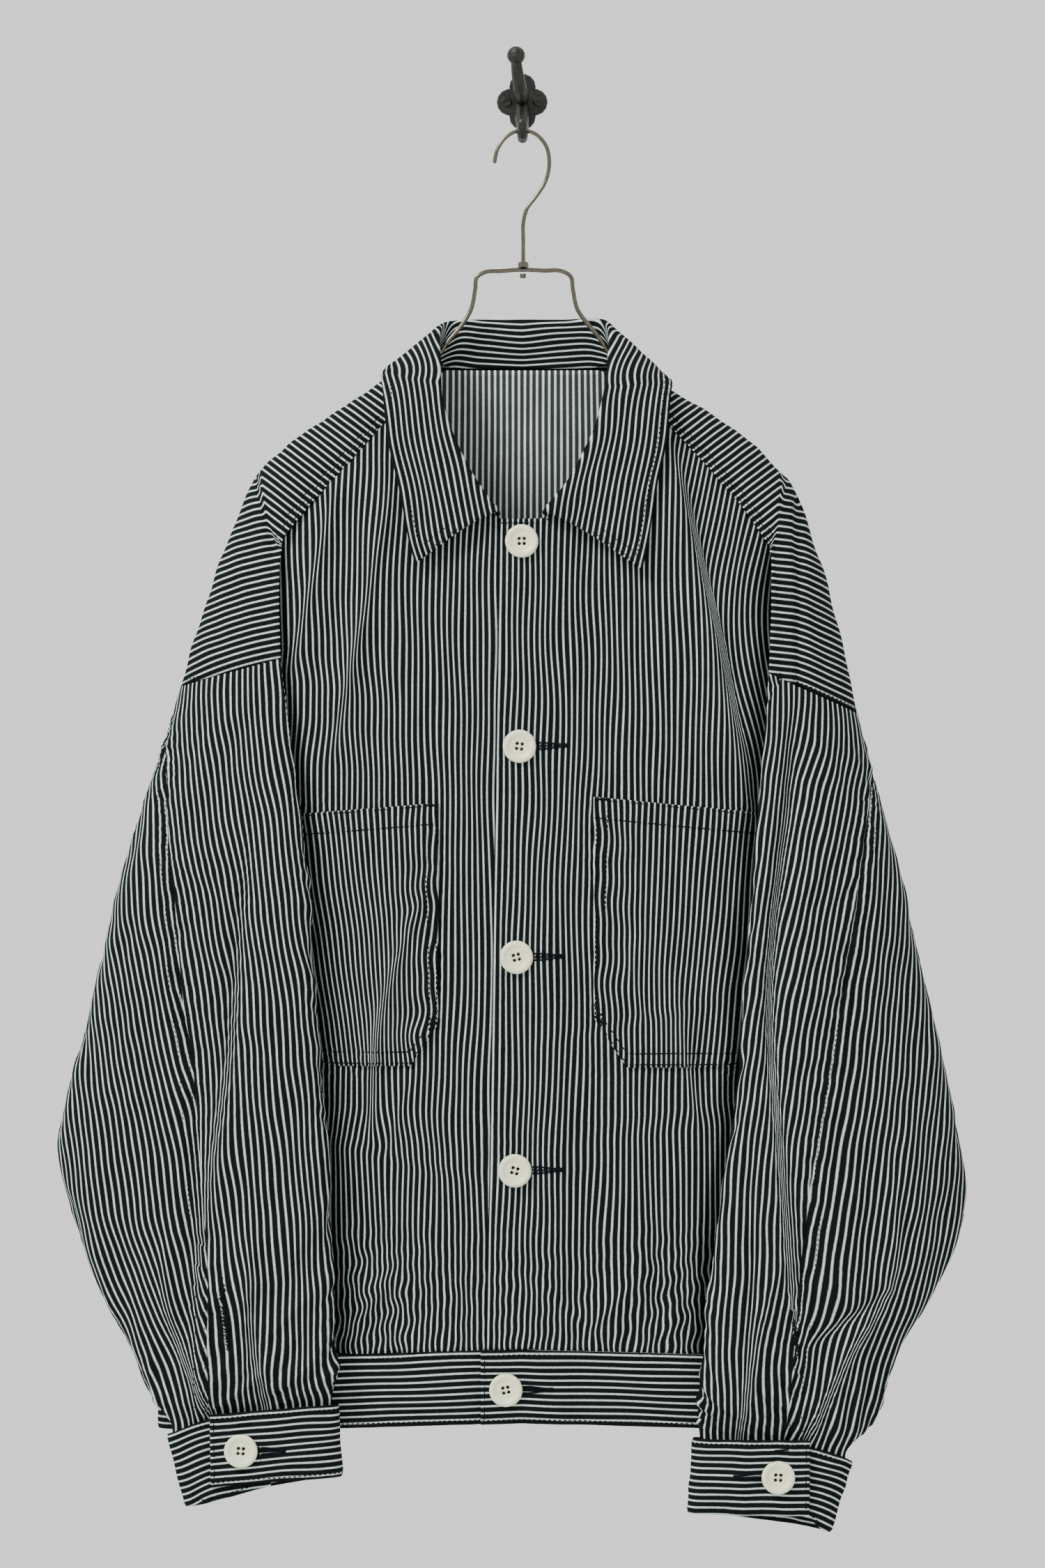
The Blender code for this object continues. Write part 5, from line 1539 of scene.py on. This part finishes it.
class Recipe:
    """A material whose nodes are linked as they are made."""

    def __init__(self, name):
        self.material = bpy.data.materials.new(name)
        self.material.use_nodes = True
        self.tree = self.material.node_tree
        self.shader = self.tree.nodes["Principled BSDF"]

    def fill(self, node, inputs):
        """Give each input named a value, or the output of another node."""
        for place, value in inputs.items():
            if isinstance(value, bpy.types.NodeSocket):
                self.tree.links.new(value, node.inputs[place])
            else:
                node.inputs[place].default_value = value

    def add(self, kind, inputs, output=0, **settings):
        """A new node, and the output of it that is wanted."""
        node = self.tree.nodes.new("ShaderNode" + kind)
        for setting, value in settings.items():
            setattr(node, setting, value)
        self.fill(node, inputs)
        return node.outputs[output]

    def math(self, operation, *values):
        return self.add("Math", dict(enumerate(values)), operation=operation)

    def noise(self, place, scale, detail=2.0):
        inputs = {"Scale": scale, "Detail": detail, "Vector": place}
        return self.add("TexNoise", inputs, "Fac")

    def mapped(self, value, start, stop, low, high, how="LINEAR"):
        """The value, led from start and stop to low and high."""
        inputs = {"Value": value, "From Min": start, "From Max": stop, "To Min": low,
                  "To Max": high}
        return self.add("MapRange", inputs, interpolation_type=how)

    def tinted(self, colour, factor):
        """The colour, made lighter or darker."""
        inputs = {"Factor": 1, "A": colour, "B": factor}
        return self.add("Mix", inputs, "Result", data_type="RGBA", blend_type="MULTIPLY")

    def mottled(self, spots, colour, low, high):
        """The colour, between low and high times as light, by the noise given."""
        return self.tinted(colour, self.mapped(spots, 0.3, 0.7, low, high))

    def relief(self, height, strength, distance):
        inputs = {"Strength": strength, "Distance": distance, "Height": height}
        self.fill(self.shader, {"Normal": self.add("Bump", inputs)})


def striped_cloth(name, dark, light, share=LIGHT_SHARE):
    """Narrow light stripes on dark twill, from the cloth's own places."""
    recipe = Recipe(name)
    place = recipe.add("UVMap", {}, uv_map="cloth")
    across = recipe.add("SeparateXYZ", {0: place})
    stretched = recipe.add("Mapping", {"Scale": (1.0, 0.35, 1.0), "Vector": place})
    wobble = recipe.math("MULTIPLY", recipe.noise(stretched, 1400), 0.00035)
    turns = recipe.math("DIVIDE", recipe.math("ADD", across, wobble), PITCH * MM)
    middle = recipe.math("SUBTRACT", recipe.math("FRACT", turns), 0.5)
    off = recipe.math("ABSOLUTE", middle)
    mask = recipe.mapped(off, share / 2 - STRIPE_BLUR, share / 2 + STRIPE_BLUR, 1, 0,
                         "SMOOTHSTEP")
    weave = recipe.noise(place, 2600, 1.0)
    stripes = {"Factor": mask}
    for end, colour, spread in (("A", dark, 0.5), ("B", light, 0.16)):
        stripes[end] = recipe.mottled(weave, (*colour, 1), 1 - spread, 1 + spread)
    mixed = recipe.add("Mix", stripes, "Result", data_type="RGBA")
    faded = recipe.mottled(recipe.noise(place, 60), mixed, 0.9, 1.08)
    recipe.fill(recipe.shader, {"Base Color": faded, "Roughness": 0.9,
                                "Specular IOR Level": 0.06})
    recipe.relief(recipe.noise(place, 900, 3.0), 0.35, 0.0004)
    return recipe.material


def plain(name, colour, roughness, metallic=0.0, speckle=0.0, scale=400.0, shine=0.5):
    """One colour, with faint mottling and fine relief where there is any speckle."""
    recipe = Recipe(name)
    recipe.fill(recipe.shader, {"Metallic": metallic, "Roughness": roughness,
                                "Specular IOR Level": shine, "Base Color": (*colour, 1)})
    if speckle:
        place = recipe.add("TexCoord", {}, "Object")
        spots = recipe.noise(place, scale, 3.0)
        mottled = recipe.mottled(spots, (*colour, 1), 1 - speckle, 1 + speckle)
        recipe.fill(recipe.shader, {"Base Color": mottled})
        recipe.relief(spots, 0.25, 0.0003)
    return recipe.material


# ---------------------------------------------------------------- camera and light

SKY = 1.2                   # strength of the light from all round
KEY_PLACE, KEY_AIM = (-1.9, -1.7, 1.9), (0, 0, -0.45)
KEY_SIZE, KEY_POWER = 1.0, 160
FLOOR_HALF, FLOOR_Z = 1300, -1320


def make_key_light():
    """One large light, high on the left in front."""
    light = bpy.data.lights.new("key", "AREA")
    light.shape = "RECTANGLE"
    light.size = light.size_y = KEY_SIZE
    light.energy = KEY_POWER
    item = put("key", light)
    item.location = KEY_PLACE
    aim = Vector(KEY_AIM) - Vector(KEY_PLACE)
    item.rotation_euler = aim.to_track_quat("-Z", "Y").to_euler()


def make_world(strength):
    """White light from all round."""
    world = bpy.data.worlds.new("white")
    bpy.context.scene.world = world
    world.use_nodes = True
    ground = world.node_tree.nodes.get("Background")
    if ground is None:
        ground = world.node_tree.nodes.new("ShaderNodeBackground")
        out = world.node_tree.nodes.new("ShaderNodeOutputWorld")
        world.node_tree.links.new(ground.outputs[0], out.inputs["Surface"])
    ground.inputs["Color"].default_value = (1, 1, 1, 1)
    ground.inputs["Strength"].default_value = strength


def make_camera():
    camera = bpy.data.cameras.new("camera")
    camera.lens = 104.3
    camera.sensor_width = 36
    camera.sensor_fit = "AUTO"
    camera.clip_end = 50
    item = put("camera", camera)
    item.location = (0, -3.07, -0.4605)
    item.rotation_euler = (math.pi / 2, 0, 0)
    bpy.context.scene.camera = item


def make_floor(material):
    corners = [(x * FLOOR_HALF, y * FLOOR_HALF, FLOOR_Z)
               for x, y in ((-1, -1), (1, -1), (1, 1), (-1, 1))]
    add_mesh("floor", corners, [(0, 1, 2, 3)], [material], smooth=False)


# ---------------------------------------------------------------- everything

def wear(item, slot, *nodes):
    """The piece rides on the one body and stands for the nodes named; the finish (slot) given
    is not used.
    """
    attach(item, "root")
    if nodes:
        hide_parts(*nodes)
    return item


# What the two halves of the jacket are made from, left and right as seen from the front.
HALVES = table(
    "name side half_width lap neckline shoulder armhole sleeve wrist creases seam inner "
    "outer sleeve_seed cuff cuff_seed",
    ("left", -1, SIDE_LEFT, 0, NECKLINE_LEFT, SHOULDER_LEFT, ARMHOLE_LEFT, SLEEVE_LEFT,
     WRIST_LEFT, SLEEVE_LEFT_CREASES, SEAM_LEFT, INNER_LEFT, OUTER_LEFT, 101, CUFF_LEFT,
     121),
    ("right", 1, SIDE_RIGHT, FRONT_LAP, NECKLINE_RIGHT, SHOULDER_RIGHT, ARMHOLE_RIGHT,
     SLEEVE_RIGHT, WRIST_RIGHT, SLEEVE_RIGHT_CREASES, SEAM_RIGHT, INNER_RIGHT, OUTER_RIGHT,
     111, CUFF_RIGHT, 131),
)

# Rows of stitches: the edge followed, how far inside it they run, the shares of the edge
# between which they run, and the number of places read on the way.
ROW = "edge inset start stop count"
SEAM_END = (SHOULDER_SEAM - 1) / (len(SHOULDER_LEFT) - 1)
FRONT_ROW = table(ROW, ("top", 2.6, 0.0, 0.3, 160))
SHOULDER_STITCHES = table(
    ROW,
    ("first", 2, 0.02, SEAM_END, 200), ("first", 5, 0.02, SEAM_END, 200),
    ("first", 8, 0.02, SEAM_END, 200), ("low", 3, 0.05, 0.75, 120),
)
POCKET_OUTLINE = table(
    ROW, *((edge, inset, 0.0, 1.0, 200) for inset in (2, 9.5)
           for edge in ("first", "last", "low")))
POCKET_HEM = table(ROW, ("top", 14, 0.0, 1.0, 160))
POCKET_EDGE = table(ROW, ("top", 1.6, 0.0, 1.0, 160))
STRIP_ROWS = table(ROW, ("top", STRIP_STITCH, 0, 1, 600), ("low", STRIP_STITCH, 0, 1, 600))
STRIP_END = table(ROW, ("first", 2.5, 0.04, 0.96, 120))
COLLAR_ROWS = table(
    ROW, ("last", 7.5, 0.01, 0.99, 700),
    *((edge, inset, 0.5, 0.97, 160) for edge in ("top", "low") for inset in (2.2, 7.5)))
SLEEVE_ROWS_OFF = (1.6, 7.5)    # two rows beside the seam down each sleeve
# Slits above the cuffs: where the rough stitches start and stop, and their width.
SLITS = (((-197.5, -784), (-193.5, -832), 3.4), ((178, -812), (182, -838), 2.4))


def sew_rows(dark_stitches_and_hole_shade, sheet, rows, **stitch):
    """Sew every row of a table of them."""
    for row in rows:
        dark_stitches_and_hole_shade.sew(sheet.beside(row.edge, row.inset, row.start, row.stop, row.count),
                   **stitch)


def sew_button_and_shade_holes(sewn, dark_stitches_and_hole_shade, place, turn):
    """Two pale stitches across a button, and in each hole a dark plug of painted shade."""
    centre = np.array(place)
    for k in range(4):
        angle = turn + math.pi / 4 + k * math.pi / 2
        if k < 2:
            off = BUTTON_HOLE_OFF - 0.5
            end = np.array((off * math.cos(angle), -2.0, off * math.sin(angle)))
            start, stop = centre + end, centre - end + np.array((0, -4.0, 0))
            start[1] = stop[1] = place[1] - 1.95
            sewn.stitch(start, stop, np.array((0, -1.0, 0)), 0.28, 0.1)
        # A dark plug in each hole is painted shade: it darkens the hole as its shadow would.
        hole = centre + BUTTON_HOLE_OFF * np.array((math.cos(angle), 0, math.sin(angle)))
        hole[1] = place[1] - 1.2
        dark_stitches_and_hole_shade.stitch(hole, hole + np.array((0, 2.0, 0)), np.array((1.0, 0, 0)), 1.0, 0)


def in_plane(route):
    """A route of the hanger's wire, in the hanger's plane."""
    return [(x, RIDGE_Y, z) for x, z in route]


def main():
    front_cloth = striped_cloth("striped_twill", DARK_STRIPE, LIGHT_STRIPE)
    reverse = striped_cloth("striped_twill_reverse", REVERSE_DARK, REVERSE_LIGHT,
                            REVERSE_SHARE)
    dark_thread_and_hole_shade = plain("thread_dark", DARK_THREAD_AND_HOLE_SHADE, 0.8, shine=0.1)
    pale_thread = plain("thread_pale", PALE_THREAD, 0.7)
    ivory = plain("ivory_button", IVORY, 0.36, speckle=0.07, scale=120)
    iron = plain("worn_iron", IRON, 0.42, 0.6, speckle=0.35, scale=300)
    steel = plain("bright_wire", BRIGHT_STEEL, 0.2, 1.0, speckle=0.15, scale=500)
    pale = plain("pale_floor", FLOOR_GREY, 0.9)

    fronts = [front_sheet(f"front_{half.name}_cloth", half.side, half.neckline,
                          half.shoulder, half.half_width, half.lap) for half in HALVES]
    back = back_sheet()
    straps = [shoulder_sheet(f"shoulder_{half.name}_cloth", half.side, half.shoulder)
              for half in HALVES]
    sleeves = [sleeve_sheet(f"sleeve_{half.name}_cloth", half.side, half.shoulder,
                            half.armhole, half.sleeve, half.wrist[0], half.creases,
                            half.seam, half.inner, half.outer, half.sleeve_seed)
               for half in HALVES]
    cuffs = [cuff_sheet(f"cuff_{half.name}_cloth", half.side, half.cuff, half.cuff_seed)
             for half in HALVES]
    band = hem_band_sheet()
    collar = collar_sheet()
    pockets = [pocket_sheet(row) for row in POCKETS]

    # The last material is on the reverse side; doubled pieces have the front's on both.
    two, one = [front_cloth, reverse], [front_cloth]
    on_left, on_right = ["shoulder_left_cloth"], ["shoulder_right_cloth"]
    for sheet, materials, wall, held, rests in (
        (fronts[0], two, 1.2, "hung", on_left),
        (fronts[1], two, 1.2, "hung", on_right),
        (back, two, 1.2, "hung", on_left + on_right),
        (straps[0], two, 1.3, "draped", ["hanger_frame_wire"]),
        (straps[1], two, 1.3, "draped", ["hanger_frame_wire"]),
        (sleeves[0], two, 1.2, "hung", on_left),
        (sleeves[1], two, 1.2, "hung", on_right),
        (cuffs[0], one, 2.2, "hung", ["sleeve_left_cloth"]),
        (cuffs[1], one, 2.2, "hung", ["sleeve_right_cloth"]),
        (band, one, 2.2, "hung", ["front_left_cloth", "front_right_cloth", "back_cloth"]),
        (collar, one, 1.9, "folded", ["front_left_cloth", "front_right_cloth"]),
        (pockets[0], two, 1.1, "hung", ["front_left_cloth"]),
        (pockets[1], two, 1.1, "hung", ["front_right_cloth"]),
    ):
        item = sheet.make(materials, wall)
        wear(item, "cloth", sheet.name.removesuffix("_cloth"))

    # The dark stitching mesh also holds the dark plugs that paint shade into the button holes.
    dark_stitches_and_hole_shade = Thread("stitching_dark")
    for sheet in fronts:
        sew_rows(dark_stitches_and_hole_shade, sheet, FRONT_ROW)
    for sheet in straps:
        sew_rows(dark_stitches_and_hole_shade, sheet, SHOULDER_STITCHES)
    for sheet in pockets:
        sew_rows(dark_stitches_and_hole_shade, sheet, POCKET_OUTLINE, length=2.8, gap=0.6, radius=0.42)
        sew_rows(dark_stitches_and_hole_shade, sheet, POCKET_HEM, length=2.8, gap=0.5, radius=0.42)
        sew_rows(dark_stitches_and_hole_shade, sheet, POCKET_EDGE, radius=0.36)
    for sheet in (band, *cuffs):
        sew_rows(dark_stitches_and_hole_shade, sheet, STRIP_ROWS)
    for sheet in (*cuffs, band):
        sew_rows(dark_stitches_and_hole_shade, sheet, STRIP_END)
    sew_rows(dark_stitches_and_hole_shade, collar, COLLAR_ROWS)
    for sheet in sleeves:
        whole = chord_sums(sheet.points, 1)[:, -1]
        for off in SLEEVE_ROWS_OFF:
            place = off / whole * SLEEVE_COLUMNS * sheet.step
            dark_stitches_and_hole_shade.sew(sheet.at(np.arange(SLEEVE_ROWS, dtype=float), place), radius=0.24)

    for row, sheet in zip(POCKETS, pockets):
        way = 1 if row.outer > row.inner else -1
        bar_tack(dark_stitches_and_hole_shade, sheet, row.inner + way * 1.2, row.top_in - 1.6, way * 9, 0, 2.0)
        bar_tack(dark_stitches_and_hole_shade, sheet, row.inner + way * 1.4, row.cut_z + 1, way * 5, -5, 2.0)
    for row in FRONT_BUTTONS[1:4]:
        buttonhole(dark_stitches_and_hole_shade, fronts[1], row.x, row.z, 1, slant=0.02)
    hem = FRONT_BUTTONS[-1]
    buttonhole(dark_stitches_and_hole_shade, band, hem.x, hem.z, 1)
    for row, cuff, half in zip(CUFF_BUTTONS, cuffs, HALVES):
        buttonhole(dark_stitches_and_hole_shade, cuff, row.x, row.z, -half.side, 28.0)
    for row, cuff in zip(CUFF_BUTTONS, cuffs):
        for z in (row.z + 17.5, row.z - 14.5):
            bar_tack(dark_stitches_and_hole_shade, cuff, row.x - 2, z, 9, 0.8, 1.4)
    for sheet, (start, stop, wide) in zip(sleeves, SLITS):
        scribble(dark_stitches_and_hole_shade, sheet, start, stop, wide)
    sewn = Thread("button_threads")
    under = {"button_hem": band, "button_cuff_left": cuffs[0], "button_cuff_right": cuffs[1]}
    for index, row in enumerate([*FRONT_BUTTONS, *CUFF_BUTTONS]):
        point, _ = under.get(row.name, fronts[1]).over(row.x, row.z)
        turn = 0.25 * math.sin(3.7 * index)     # no two are sewn on alike
        place = (row.x, point[0][1] - 0.5, row.z)
        wear(make_button(row.name + "_turned", place, turn, ivory), "button", row.name)
        sew_button_and_shade_holes(sewn, dark_stitches_and_hole_shade, place, turn)
    wear(sewn.make(pale_thread), "button")
    wear(dark_stitches_and_hole_shade.make(dark_thread_and_hole_shade), "cloth")

    hook = tube("hanger_hook_wire", in_plane(HOOK_ROUTE), HOOK_WIRE, 16, steel, 150)
    wear(hook, "steel", "hanger_hook")
    left = [(-x, z) for x, z in FRAME_LEFT[::-1]]
    route = in_plane([*left, FRAME_MIDDLE, *FRAME_RIGHT])
    wear(tube("hanger_frame_wire", route, FRAME_WIRE, 16, steel, 260), "steel",
         "hanger_frame")
    for item in bpy.data.objects:
        node = item.get("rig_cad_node")
        if not node or item.hide_render:
            continue
        finish = iron if node in ("wall_hook", "screw_left", "screw_right") else steel
        for place in item.material_slots:
            place.material = finish

    make_floor(pale)
    make_world(SKY)
    make_key_light()
    make_camera()


main()
